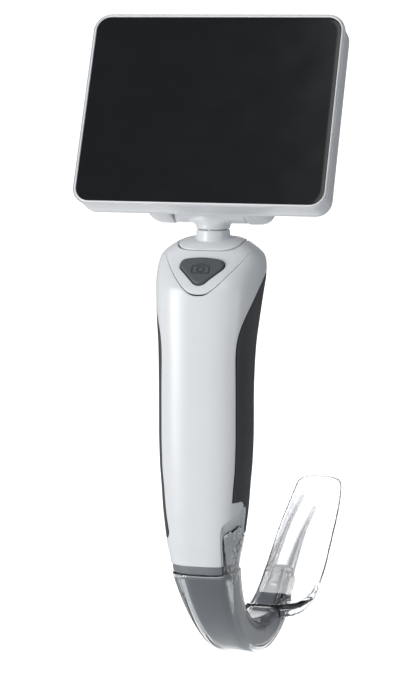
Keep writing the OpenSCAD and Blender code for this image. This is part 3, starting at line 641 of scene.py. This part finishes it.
in_grip, in_pocket, in_top, in_cap = grip_field(skin), pocket_field(skin), seam_field(skin), cap_field(skin)
hole = button_field(skin, 0.25)
screws = np.minimum(*[np.where(skin[:, 1] > 5, np.hypot(skin[:, 0], skin[:, 2] - z) - 2.4, 9)
                      for z in (19, 88)])
# radius of the panels' edges, and half the width of the seams between them
EDGE, SEAM = 0.3, 0.09


def panel(name, field, edge, depth, mat, extra=()):
    """Panel of the handle where its field is above 0, joined with other closed meshes."""
    v, t = keep_inside(skin, skin_tris, field - edge - SEAM)
    return make(name, *joined(closed_panel(v, t, edge, depth), *extra), mat)


def right_of(y, z, inset):
    """Distance to the right of the handle's surface, set in, at a distance back and a height."""
    w, d, m = handle_size(z)
    span = 1 - abs((y - m) / (d / 2 - inset)) ** SECTION_N
    return (w / 2 - inset) * np.clip(span, 0, 1) ** (1 / SECTION_N)


# floor of the tab's pocket, a step below the surface, with the wall along its front
rows, front_wall = [], [[], []]
for z in np.linspace(3.3, 24.2, 40):
    w, d, m = handle_size(z)
    a, b = w / 2 - STEP, d / 2 - STEP
    turn = math.acos(((POCKET_X - 0.2) / a) ** (SECTION_N / 2))
    t = np.linspace(-turn, turn * 0.97, 40)
    across = a * np.cos(t) ** (2 / SECTION_N)
    back = b * np.sign(np.sin(t)) * abs(np.sin(t)) ** (2 / SECTION_N) + m
    rows.append(np.stack([across, back, np.full(40, z)], 1))
    if z < 17.5:
        lift = (1 - ((POCKET_X / (w / 2)) ** SECTION_N)) ** (1 / SECTION_N) * d / 2
        front_wall[0].append((POCKET_X - 0.25, m - lift + 0.45, z))
        front_wall[1].append((POCKET_X - 0.25, rows[-1][0][1] + 0.3, z))
# walls of the pocket along the rest of its outline, as far as it lies on the handle
line = np.concatenate([np.linspace(a, b, 8, endpoint=False) for a, b in zip(POCKET, np.roll(POCKET, -1, 0))
                       if max(abs(a[0]), abs(b[0])) < 39])
reach, deep = right_of(line[:, 0], line[:, 1], 0), right_of(line[:, 0], line[:, 1], STEP)
good = (reach > POCKET_X + 0.6) & (line[:, 1] > 3.3)
line, reach, deep = line[good], reach[good], np.maximum(deep[good], POCKET_X - 0.4) - 0.3
walls = [np.column_stack([deep + (reach - 0.35 - deep) * k, line]) for k in (0, 0.5, 1)]
pocket = [thick_sheet(rows, 0.8), thick_sheet(walls, 0.5), thick_sheet(np.array(front_wall), 0.4)]

front = panel("front_shell", np.minimum(np.minimum(-in_grip, -in_top), -in_pocket), EDGE, 1.0, white, pocket)
belongs(front, "handle", "white_plastic", "front_cover")
grip = panel("grip_skin", np.minimum(np.minimum(in_grip, -in_pocket), screws), 0.35, 1.2, dark)
belongs(grip, "handle", "dark_grip", "rear_grip")
top = panel("top_shell", np.minimum(np.minimum(in_top, -in_cap), -hole), EDGE, 1.0, white)
belongs(top, "handle", "white_plastic", "top_cover")


def surface_height(x, y):
    """Height of the handle's top surface above points of its plan."""
    low, high = np.full(len(x), 100.0), np.full(len(x), 118.5)
    for _ in range(30):
        mid = (low + high) / 2
        w, d, m = handle_size(mid)
        inside = abs(x / (w / 2)) ** SECTION_N + abs((y - m) / (d / 2)) ** SECTION_N < 1
        low, high = np.where(inside, mid, low), np.where(inside, high, mid)
    return low


def round_neck(a, b, z):
    """Ring round the neck's middle, a across and b back, at a height."""
    return np.stack([a * CIRCLE[:, 0], NECK_Y + b * CIRCLE[:, 1], np.broadcast_to(z, len(CIRCLE))], 1)


# stub of the neck with a fillet at its foot, up to the parting groove
FILLET = 0.9
foot = surface_height((NECK_R + FILLET) * CIRCLE[:, 0], NECK_Y + (NECK_R + FILLET) * CIRCLE[:, 1])
rings = [round_neck(NECK_R + FILLET + 0.5, NECK_R + FILLET + 0.5, foot - 0.35)]
for swing in np.radians([0, 15, 30, 45, 60, 75, 90]):
    r = NECK_R + FILLET * (1 - math.sin(swing))
    rings.append(round_neck(r, r, foot + FILLET * (1 - math.cos(swing))))
for r, z in ((6, 120.45), (5.93, 120.65), (5.75, 120.78), (5.05, 120.8), (5.02, 119.5)):
    rings.append(round_neck(r, r, z))
stub = loft(rings, close_ends=False)
cap = panel("cap_shell", in_cap, 0.35, 1.0, white, [stub])
belongs(cap, "handle", "white_plastic", "neck_cap")

# collar ring, open where the tab lies; each row is a height and how far it is set in
rings = []
for z, inset in ((0.0, 0.9), (0.05, 0.55), (0.25, 0.38), (0.5, 0.35), (1.6, 0.35), (2.7, 0.35),
                 (2.95, 0.4), (3.15, 0.6), (3.2, 1.1)):
    rings += handle_rings([z], inset)
cv, cf = loft(rings, close_ends=False)
cv, ct = keep_inside(cv, triangles(cf), POCKET_X - 0.3 - cv[:, 0])
collar = make("collar_ring", *closed_panel(cv, ct, 0.1, 1.2), collar_grey)
belongs(collar, "handle", "grey_plastic", "bottom_collar")

# ------------------------------------------------------------------ capture button
centre = np.array([0, 1.6])
rings = [on_button(button_outline(grow), lift) for grow, lift in
         ((0.0, -2.6), (0.0, 0.0), (-0.08, 0.2), (-0.28, 0.38), (-0.6, 0.48))]
for s in (0.85, 0.65, 0.4, 0.15):
    rings.append(on_button(centre + (button_outline(-0.6) - centre) * s, 0.48 + 0.12 * (1 - s * s)))
face = loft(rings)
body_sign = filleted([(-3.1, -1.1), (3.1, -1.1), (3.1, 1.9), (1.5, 1.9), (1.0, 2.6), (-1.0, 2.6),
                      (-1.5, 1.9), (-3.1, 1.9)], 0.45)
lens_sign = wire(on_button(CIRCLE * 1.15 + [0, 0.7], 0.58), 0.22)
shutter = make("button_face", *joined(face, wire(on_button(body_sign + [0, 0.3], 0.56), 0.2), lens_sign),
               button_grey)
shutter.data.materials.append(sign_grey)
for polygon in shutter.data.polygons:
    polygon.material_index = int(polygon.index >= len(face[1]))
belongs(shutter, "capture", "button_grey", "capture_button")


# ------------------------------------------------------------------ monitor
def from_monitor(v):
    """Points of the monitor's own frame in the row frame: x, back from the glass, up the glass."""
    v = np.asarray(v, float)
    c, s = math.cos(LEAN), math.sin(LEAN)
    return np.stack([v[:, 0], GLASS_AT[0] + v[:, 1] * c + v[:, 2] * s,
                     GLASS_AT[1] - v[:, 1] * s + v[:, 2] * c], 1)


def slab_ring(w, h, r, depth, arc=10, straight=6):
    """Rounded rectangle at one depth of the monitor's frame."""
    pts = []
    for k, (sx, sz) in enumerate(((1, 1), (-1, 1), (-1, -1), (1, -1))):
        for a in np.linspace(0, math.pi / 2, arc) + k * math.pi / 2:
            pts.append((sx * (w / 2 - r) + r * math.cos(a), sz * (h / 2 - r) + r * math.sin(a)))
    p = np.array(pts)
    full = []
    for k in range(4):
        block = p[k * arc:(k + 1) * arc]
        after = p[((k + 1) * arc) % len(p)]
        full.append(block)
        t = (np.arange(1, straight) / straight)[:, None]
        full.append(block[-1] * (1 - t) + after * t)
    p = np.concatenate(full)
    return np.stack([p[:, 0], np.full(len(p), float(depth)), p[:, 1] + FRAME_LOW], 1)


def slab_sweep(w, h, r, rows):
    """Skin of rounded rectangles: each row is a depth and how far it is set in."""
    return [slab_ring(w - 2 * i, h - 2 * i, max(0.4, r - i), d) for d, i in rows]


def in_monitor(mesh):
    """Points with faces of the monitor's own frame in the row frame."""
    return from_monitor(mesh[0]), mesh[1]


def box(x0, x1, back0, back1, z0, z1):
    """Closed box in the monitor's frame."""
    return in_monitor(prism([(x0, back0), (x1, back0), (x1, back1), (x0, back1)], z0, z1, "z"))


# front frame: lip round the glass, side wall and back edge, with openings for the power button and the port
lip_in = (FRAME_W - GLASS_W) / 2 - 0.06
rows = [(1.2, lip_in + 0.02), (0.15, lip_in), (-0.02, lip_in - 0.03), (-0.16, lip_in - 0.1),
        (-0.24, lip_in - 0.2), (-0.26, 0.3), (-0.2, 0.17), (-0.02, 0.06), (0.3, 0.0), (1.2, 0.0), (4.5, 0.0),
        (9.3, 0.0), (9.6, 0.06), (9.78, 0.2), (FRAME_EDGE, 0.5), (FRAME_EDGE, 2.6)]
bezel = make("frame_shell", *in_monitor(loft(slab_sweep(FRAME_W, FRAME_H, FRAME_R, rows), close_ends=False)),
             white)
thick = bezel.modifiers.new("thick", "SOLIDIFY")
thick.thickness = 1.2 * MM
thick.offset = -1
applied(bezel)
combine(bezel, "DIFFERENCE", [
    box(POWER_X - 5.35, POWER_X + 5.35, POWER_BACK - 2.05, POWER_BACK + 2.05, 30, 40),
    box(-60, -FLAP_OUT + 1.25, 1.8, 7.6, -6.7, 8.2)])
shade(bezel, 35)
# faces near the glass take the lip's material, brightened as a painted highlight
bezel.data.materials.append(glossy_lip_highlight)
for polygon in bezel.data.polygons:
    y, z = (c / MM for c in polygon.center[1:])
    from_glass = (y - GLASS_AT[0]) * math.cos(LEAN) - (z - GLASS_AT[1]) * math.sin(LEAN)
    polygon.material_index = int(from_glass < 0.35)
belongs(bezel, "monitor", "white_plastic", "front_frame")

# rear shell: rounded slab with a trough for the yoke's barrel and recesses for the four screws
rows = [(9.95, 2.6), (9.95, 0.45), (10.0, 0.22), (10.15, 0.06), (10.4, 0.0), (10.9, 0.05), (11.4, 0.3),
        (11.8, 0.75), (12.15, 1.4), (12.4, 2.3), (12.48, 3.4), (REAR_BACK, 5.0)]
sweep = slab_sweep(FRAME_W, FRAME_H, FRAME_R, rows)
sweep += [sweep[-1] * [s, 1, s] for s in (0.8, 0.55, 0.3, 0.1)]
holes = [rod((0, NECK_Y, HINGE_Z), "x", BARREL_R + 0.4, -13.35, 13.35, 96)]
for x in (-SCREW_X, SCREW_X):
    for z in (-SCREW_UP, SCREW_UP):
        rings = [np.stack([x + r * CIRCLE[:, 1], np.full(len(CIRCLE), depth), z + r * CIRCLE[:, 0]], 1)
                 for depth, r in ((REAR_BACK - 0.9, SCREW_R), (REAR_BACK - 0.22, SCREW_R),
                                  (REAR_BACK, SCREW_R + 0.22), (REAR_BACK + 3, SCREW_R + 3.2))]
        holes.append(in_monitor(loft(rings)))
rear = combined(in_monitor(loft(sweep)), "DIFFERENCE", holes)

# the pin's place in the monitor's frame: back from the glass, up the glass
pin = np.array([(NECK_Y - GLASS_AT[0]) * math.cos(LEAN) - (HINGE_Z - GLASS_AT[1]) * math.sin(LEAN),
                (NECK_Y - GLASS_AT[0]) * math.sin(LEAN) + (HINGE_Z - GLASS_AT[1]) * math.cos(LEAN)])


def cheek_outline():
    """Side view of a hinge cheek: down the back, round the barrel, and under to the frame."""
    pts = [(11.1, 9.0), (12.45, 8.0), (REAR_BACK, 6.0)]
    pts += [(pin[0] + CHEEK_R * math.cos(a), pin[1] + CHEEK_R * math.sin(a))
            for a in np.radians(np.linspace(28, -98, 26))]
    pts += [(11.5, -FRAME_H / 2 + 0.25), (10.2, -FRAME_H / 2 + 0.5), (10.2, -30)]
    return np.array(pts)


# cheeks: the side view shrinks towards their rounded outer ends
side = cheek_outline()
cheeks = []
spine = np.array([9.5, -25.0])
for sign in (1, -1):
    rings = []
    for x, s in ((13.4, 0.955), (13.46, 0.975), (13.65, 0.99), (14.0, 1.0), (16.0, 1.0), (18.4, 0.995),
                 (20.0, 0.965), (21.3, 0.905), (22.3, 0.82), (23.1, 0.71), (23.6, 0.58), (23.8, 0.4)):
        p = spine + (side - spine) * s
        rings.append(np.stack([np.full(len(p), sign * x), p[:, 0], p[:, 1]], 1))
    cheeks.append(in_monitor(loft(rings if sign < 0 else [r[::-1] for r in rings])))
back = make("back_shell", *joined(rear, *cheeks), white, 35)
belongs(back, "monitor", "white_plastic", "rear_shell")

# cover glass with a rounded edge; each row is a depth and how far it is set in
rows = [(1.15, 0.3), (0.3, 0.0), (0.12, 0.03), (0.02, 0.12), (0.0, 0.3)]
sweep = slab_sweep(GLASS_W, GLASS_H, GLASS_R, rows)
sweep += [sweep[-1] * [s, 1, s] for s in (0.97, 0.8, 0.6, 0.4, 0.2, 0.05)]
pane = make("screen_glass", *in_monitor(loft(sweep)), glass_black)
belongs(pane, "monitor", "black_glass", "cover_glass")

# yoke: barrel between the cheeks and a neck that flares into it; each row is half the width, half the
# depth and the height
flare = [round_neck(a, b, z) for a, b, z in (
    (5.5, 5.5, 121.0), (5.8, 5.8, 121.05), (6, 6, 121.3), (6.05, 6, 122.0), (6.3, 6.0, 122.5),
    (6.8, 6.05, 123.0), (7.6, 6.1, 123.4), (9.0, 6.15, 123.8), (10.8, 6.2, 124.3), (11.6, 6.2, 126),
    (11.6, 6.2, 130))]
yoke = solidified("yoke_shell", [loft(flare), rod((0, NECK_Y, HINGE_Z), "x", BARREL_R, -13.1, 13.1, 96, 0.5)],
                  0.32, 6, white)
belongs(yoke, "neck", "white_plastic", "neck_yoke")

# power button with a rounded edge; each row is a height above the middle and how far it is set in
rings = [slab_ring(10 - 2 * i, 3.4 - 2 * i, max(0.2, 1.6 - i), h) for h, i in
         ((33.4, 0), (36.0, 0), (36.25, 0.08), (36.4, 0.25), (36.44, 0.5), (36.4, 0.8))]
power = make("power_key", *in_monitor(loft([r[:, [0, 2, 1]] + [POWER_X, POWER_BACK, 0] for r in rings])),
             power_grey)
belongs(power, "power", "grey_plastic", "power_button")

# rubber cover of the port, with a grooved edge and the plug behind it that goes into the opening
rings = [slab_ring(5.3 - 2 * i, 14.4 - 2 * i, max(0.2, 1.2 - i), h) for h, i in
         ((44.7, 0), (45.2, 0), (45.5, 0.1), (45.65, 0.3), (45.68, 0.6), (45.6, 1.0), (45.68, 1.2))]
lid = in_monitor(loft([np.stack([-r[:, 1], r[:, 0] + 4.7, r[:, 2] + 0.75], 1) for r in rings]))
cover = make("port_flap_skin", *joined(lid, box(-45.2, -43.6, 3.7, 5.9, -3.7, 3.7)), rubber)
belongs(cover, "port_flap", "flap_rubber", "port_cover")


# ------------------------------------------------------------------ camera arm and blade
def arm_half(t):
    """Half the arm's width at an angle of the arc."""
    t = np.asarray(t, float)
    return np.where(t < 0, 5.9 + 2.2 * np.minimum(1, np.maximum(0, -t) / 60) ** 1.8,
                    5.9 - 1.2 * (np.maximum(0, t) / ARM_END) ** 1.25)


def arm_inner(t):
    """Radius of the arm's inner face."""
    return 65 + 4 * (t + 58) / (ARM_END + 58)


def blade_grow(t):
    """How far the blade's channel is outside the arm: more at its mouth under the handle."""
    return WALL + GAP + 1.3 * max(0, (-t - 34) / 28) ** 1.6


ARM_OUTLINE = even_outline(2 / 0.36, 72)


def arm_ring(t, grow, shrink=0.0):
    """Section of the arm at an angle, grown outwards, or shrunk: its inner side narrows towards the tip."""
    r1, r0 = ARM_OUT + grow - shrink, arm_inner(t) - grow + shrink
    h = (r1 - r0) / 2
    narrow = 0.4 * min(1, max(0, (t + 8) / 40))
    q = ARM_OUTLINE[:, 1] * h
    a = float(arm_half(t)) * (1 - narrow * (1 - q / h) / 2) + grow - shrink
    r = (r1 + r0) / 2 + q
    s = math.radians(t)
    return np.stack([a * ARM_OUTLINE[:, 0], ARC_Y + r * math.sin(s), ARC_Z - r * math.cos(s)], 1)


def arm_loft(t0, t1, grow, steps=90, end=0.0):
    """Closed loft along the arc; the far end is rounded by end."""
    g = grow if callable(grow) else (lambda t: grow)
    stop = t1 - math.degrees(end / ARM_OUT)
    rings = [arm_ring(t, g(t)) for t in np.linspace(t0, stop, steps)]
    for a in np.radians([30, 60, 90]) if end else []:
        t = stop + math.degrees(end * math.sin(a) / ARM_OUT)
        rings.append(arm_ring(t, g(t), end * (1 - math.cos(a))))
    v, f = loft(rings)
    return v, [g[::-1] for g in f]


def below(part, height):
    """The part of a closed mesh below a height, closed again."""
    bm = bmesh.new()
    for p in part[0]:
        bm.verts.new(p)
    bm.verts.ensure_lookup_table()
    for g in part[1]:
        bm.faces.new([bm.verts[i] for i in g])
    everything = bm.verts[:] + bm.edges[:] + bm.faces[:]
    cut = bmesh.ops.bisect_plane(bm, geom=everything, plane_co=(0, 0, height), plane_no=(0, 0, 1),
                                 clear_outer=True)
    rim = [e for e in cut["geom_cut"] if isinstance(e, bmesh.types.BMEdge)]
    bmesh.ops.contextual_create(bm, geom=rim)
    bmesh.ops.recalc_face_normals(bm, faces=bm.faces[:])
    bm.verts.index_update()
    out = np.array([p.co[:] for p in bm.verts]), [tuple(p.index for p in g.verts) for g in bm.faces]
    bm.free()
    return out


def on_arc(part, t):
    """Moves a part whose z runs along the arc to angle t of the arm's core line."""
    v = np.asarray(part[0], float)
    s = math.radians(t)
    r = (ARM_OUT + 69) / 2
    along = np.array([0, math.cos(s), math.sin(s)])
    outward = np.array([0, math.sin(s), -math.cos(s)])
    at = np.array([0, ARC_Y + r * math.sin(s), ARC_Z - r * math.cos(s)])
    return at + v[:, :1] * [1, 0, 0] + v[:, 1:2] * outward + v[:, 2:] * along, part[1]


arm = make("arm_skin", *below(arm_loft(-66, ARM_END, 0.0, 120, 0.5), 3.2), grey)
# bores in the tip for the camera and for the two diodes beside it
bores = [on_arc(rod((0, 0, 0), "z", 1.95, -3, 3, 40), ARM_END)]
bores += [on_arc(rod((x, 1.9, 0), "z", 0.65, -2.2, 3, 24), ARM_END) for x in (-2.2, 2.2)]
combine(arm, "DIFFERENCE", bores)
shade(arm, 35)
belongs(arm, "handle", "grey_plastic", "camera_arm")


def plate_side(drop):
    """Line some way below the top of the spatula, in side view: a bend and a straight tip."""
    pts = []
    for t in np.radians(np.linspace(PLATE_START, math.degrees(TIP_SLOPE), 26)):
        pts.append((ARC_Y + (PLATE_R + drop) * math.sin(t), ARC_Z - (PLATE_R + drop) * math.cos(t)))
    y, z = pts[-1]
    for e in np.linspace(y, TIP_Y + 1, 12)[1:]:
        pts.append((e, z + (e - y) * math.tan(TIP_SLOPE)))
    return pts


def plate_height(y):
    """Height of the top of the spatula at a distance back."""
    bend = ARC_Y + PLATE_R * math.sin(TIP_SLOPE)
    if y <= bend:
        return ARC_Z - math.sqrt(PLATE_R ** 2 - (y - ARC_Y) ** 2)
    return ARC_Z - PLATE_R * math.cos(TIP_SLOPE) + (y - bend) * math.tan(TIP_SLOPE)


def bar_under(line, wide, deep, count=30):
    """Bar under the plate along a line of its plan, with a narrow lower edge, tapering to the far end."""
    rings = []
    turn_of = np.linspace(0, 2 * math.pi, 20, endpoint=False)
    down = np.sin(turn_of) <= 0
    pinch = np.maximum(np.where(np.sin(turn_of) < 0, (1 + np.sin(turn_of)) ** 0.8, 1), 0.25)
    for t in np.linspace(0, 1, count):
        x = curve_through([0, 0.5, 1], [p[0] for p in line], np.array([t]))[0]
        y = line[0][1] + (line[2][1] - line[0][1]) * t
        w, h = wide[0] + (wide[1] - wide[0]) * t, deep[0] + (deep[1] - deep[0]) * t ** 1.3
        rings.append(np.stack([x + w * np.cos(turn_of) * pinch, np.full(20, y),
                               plate_height(y) - 0.8 + np.where(down, h, 0.5) * np.sin(turn_of)], 1))
    return loft(rings)


# plan of the spatula, and of the space inside its rim, which is open at the left and at the tip
PLAN = smooth_closed([
    (-5.2, 77.5), (-4.8, 88), (-4.4, 100), (-4.5, 114), (-4.1, 124), (-3.2, 134), (-2.4, TIP_Y - 3.4),
    (-1.2, TIP_Y - 1.6), (1, TIP_Y - 0.4), (4, TIP_Y), (9, TIP_Y - 0.1), (12.6, TIP_Y - 0.5),
    (15.0, TIP_Y - 1.7), (16.3, TIP_Y - 4.4), (17.4, 134), (18.0, 126), (18.4, 116), (18.8, 106),
    (18.6, 98), (18, 91), (16.8, 86), (15.2, 82.4), (12.6, 79.6), (9, 78), (4, 76.9), (0, 76.7)], 3)
INSIDE = smooth_closed([
    (-30, 78.4), (0, 78.1), (3.9, 78.4), (8.4, 79.4), (11.6, 80.8), (13.8, 83), (15.4, 86.5), (16.6, 91.3),
    (17.2, 98), (17.4, 106), (17, 116), (16.2, 126), (15.5, 134), (14.1, TIP_Y - 4.9),
    (13.6, 170), (-30, 170)], 3)
plan = prism(PLAN, -60, 40, "z")
plate = combined(prism(plate_side(0) + plate_side(PLATE_T)[::-1], -20, 30, "x"), "INTERSECT", [plan])
# the rim hangs below the plate, deepest at the near end
rim_foot = [(y, z - 4.4 + 2.9 * k / 36) for k, (y, z) in enumerate(plate_side(0))]
rim = combined(prism(plate_side(0.3) + rim_foot[::-1], -20, 30, "x"), "INTERSECT", [plan])
rim = combined(rim, "DIFFERENCE", [prism(INSIDE, -60, 40, "z")])
# two ribs, and a low bar along the left edge
ribs = [bar_under([(-3.0, 99), (-1.6, 120), (1.8, 140.5)], (1.7, 0.5), (5.2, 1.2)),
        bar_under([(4.9, 99), (5.5, 117), (8, 134)], (2.3, 0.5), (5.4, 1.2)),
        bar_under([(-4.0, 80), (-3.3, 114), (-0.9, 142.8)], (1.7, 1.1), (2.3, 1.3))]
# bead along the near edge, from the left round the first corner
bead_line = smooth_closed([(-5.4, 78.0), (0, 77.6), (4, 77.8), (9, 78.9), (12.6, 80.4), (15.2, 83.2),
                           (16.8, 87)], 4)[:25]
bead = wire([(x, y, plate_height(y) - 0.1) for x, y in bead_line], 1.05, 14, closed=False)

# tab in the handle's pocket, flange under the collar, and the channel round the arm
BLADE_OUTLINE = even_outline(SECTION_N, 120)
tab_plan = filleted([(-30, -1.8), (14, -1.8), (14, 12.4), (0, 12.4), (-0.9, 13.5), (-1.6, 16.4), (-5, 17.5),
                     (-9.4, 15.4), (-11, 12.6), (-30, 12.6)], 1.2)
tab = combined(loft(handle_rings(np.linspace(-1.8, 17.6, 40), 0.1, BLADE_OUTLINE)), "INTERSECT",
               [prism(tab_plan, POCKET_X + 0.3, 30, "x")])
tab = combined(tab, "DIFFERENCE", [loft(handle_rings(np.linspace(-0.3, 19, 40), 1.5, BLADE_OUTLINE))])
flange = loft(handle_rings([-1.8, -1.5, -1.0, -0.6, -0.3], 0.1, BLADE_OUTLINE))
channel = below(arm_loft(-66, ARM_END + 1.3, lambda t: blade_grow(t) + 0.15, 150, 0.9), -0.3)
blade = solidified("blade_shell", [channel, plate, rim, bead, *ribs, tab, flange], 0.36, 5, clear)
combine(blade, "DIFFERENCE", [arm_loft(-74, ARM_END + 0.4, GAP, 150)])
shade(blade, 50)
blade.data.materials.append(ripple)
blade.data.materials.append(edge)
for polygon in blade.data.polygons:
    x, y, z = (c / MM for c in polygon.center)
    near_rim = 74 < y < 84 and x > 2.5 and z < plate_height(max(y, 77)) + 1.5
    on_tab = x > POCKET_X - 1 and z > -4 and y < 20
    # the ribs take the dark clear plastic, as painted shade
    painted_rib_shade = 86 < y < 142 and -7 < x < 11 and z < plate_height(y) - PLATE_T - 0.35
    polygon.material_index = 2 if painted_rib_shade else int(near_rim or on_tab)
belongs(blade, "blade", "clear_plastic", "blade_sheath")


# ------------------------------------------------------------------ camera, light and floor
def stage_material(name, colour, glow):
    """Matt surface that also shines a little, so that it stays pale."""
    mat = bpy.data.materials.new(name)
    mat.use_nodes = True
    shader = mat.node_tree.nodes["Principled BSDF"]
    shader.inputs["Base Color"].default_value = (*colour, 1)
    shader.inputs["Roughness"].default_value = 0.9
    shader.inputs["Emission Color"].default_value = (1, 1, 1, 1)
    shader.inputs["Emission Strength"].default_value = glow
    return mat


# from here on in metres: a pale floor below the object, and a narrow bright wall behind it that is slanted
# along the view, so that the darker surroundings outside it draw the edges of the clear plastic
FLOOR_Z = cad_box[0].z - 0.2
BEND_Y, BEND_R, WALL_TOP, WALL_HALF, VIEW_SLANT = 0.35, 0.35, 0.27, 0.18, 0.2854
corners = [(x, y, FLOOR_Z) for x, y in ((-1.6, -2.2), (1.6, -2.2), (1.6, 1.4), (-1.6, 1.4))]
floor = make("floor", np.array(corners) / MM, [(0, 1, 2, 3)],
             stage_material("pale_floor", (0.72, 0.73, 0.74), 0.08), 180)
profile = [(BEND_Y + BEND_R * math.sin(a), FLOOR_Z + 0.002 + BEND_R * (1 - math.cos(a)))
           for a in np.radians(range(0, 91, 10))]
profile.append((BEND_Y + BEND_R, WALL_TOP))
verts = [(x, y, z) for y, z in profile for x in (-VIEW_SLANT * y - WALL_HALF, -VIEW_SLANT * y + WALL_HALF)]
faces = [(2 * k, 2 * k + 1, 2 * k + 3, 2 * k + 2) for k in range(len(profile) - 1)]
wall = make("backdrop", np.array(verts) / MM, faces,
            stage_material("pale_wall", (0.5, 0.5, 0.5), 0.92), 180)

# camera: its direction from the object, its distance, and a focal length in pixels of the frame's height
az, el = math.radians(15.93), math.radians(7.05)
aim, distance = Vector((0.00052, 0, 0.0834)), 0.953
frame_height, focal = 674, 2700
back_way = Vector((math.sin(az) * math.cos(el), -math.cos(az) * math.cos(el), math.sin(el)))
camera = bpy.data.objects.new("camera", bpy.data.cameras.new("camera"))
camera.data.sensor_fit = "AUTO"
camera.data.sensor_width = 36
camera.data.lens = focal * 36 / frame_height
camera.data.clip_start, camera.data.clip_end = 0.05, 50
camera.location = aim + back_way * distance
camera.rotation_mode = "QUATERNION"
camera.rotation_quaternion = (-back_way).to_track_quat("-Z", "Y")
bpy.context.scene.collection.objects.link(camera)
bpy.context.scene.camera = camera


def softbox(name, at, size, watts, colour=(1, 1, 1), target=(0, 0.02, 0.08)):
    """Rectangular lamp at a place, turned to the middle of the object."""
    data = bpy.data.lights.new(name, "AREA")
    data.shape, data.size, data.size_y = "RECTANGLE", size[0], size[1]
    data.energy, data.color = watts, colour
    lamp = bpy.data.objects.new(name, data)
    lamp.location = at
    lamp.rotation_mode = "QUATERNION"
    lamp.rotation_quaternion = (Vector(target) - Vector(at)).to_track_quat("-Z", "Y")
    bpy.context.scene.collection.objects.link(lamp)


softbox("key", (-0.95, -1.1, 0.3), (0.6, 1.0), 14.5)
softbox("overhead", (-0.35, 0.55, 1.2), (0.45, 0.45), 3.5)
softbox("top_fill", (0.1, -1.2, 1.3), (0.8, 0.6), 3)
softbox("side_fill", (1.35, -0.75, 0.2), (0.5, 0.8), 2.4, (0.97, 0.98, 1.0))

world = bpy.data.worlds.new("studio")
world.use_nodes = True
world.node_tree.nodes["Background"].inputs["Color"].default_value = (0.86, 0.9, 0.95, 1)
world.node_tree.nodes["Background"].inputs["Strength"].default_value = 0.22
bpy.context.scene.world = world
bpy.context.scene.view_settings.view_transform = "Standard"
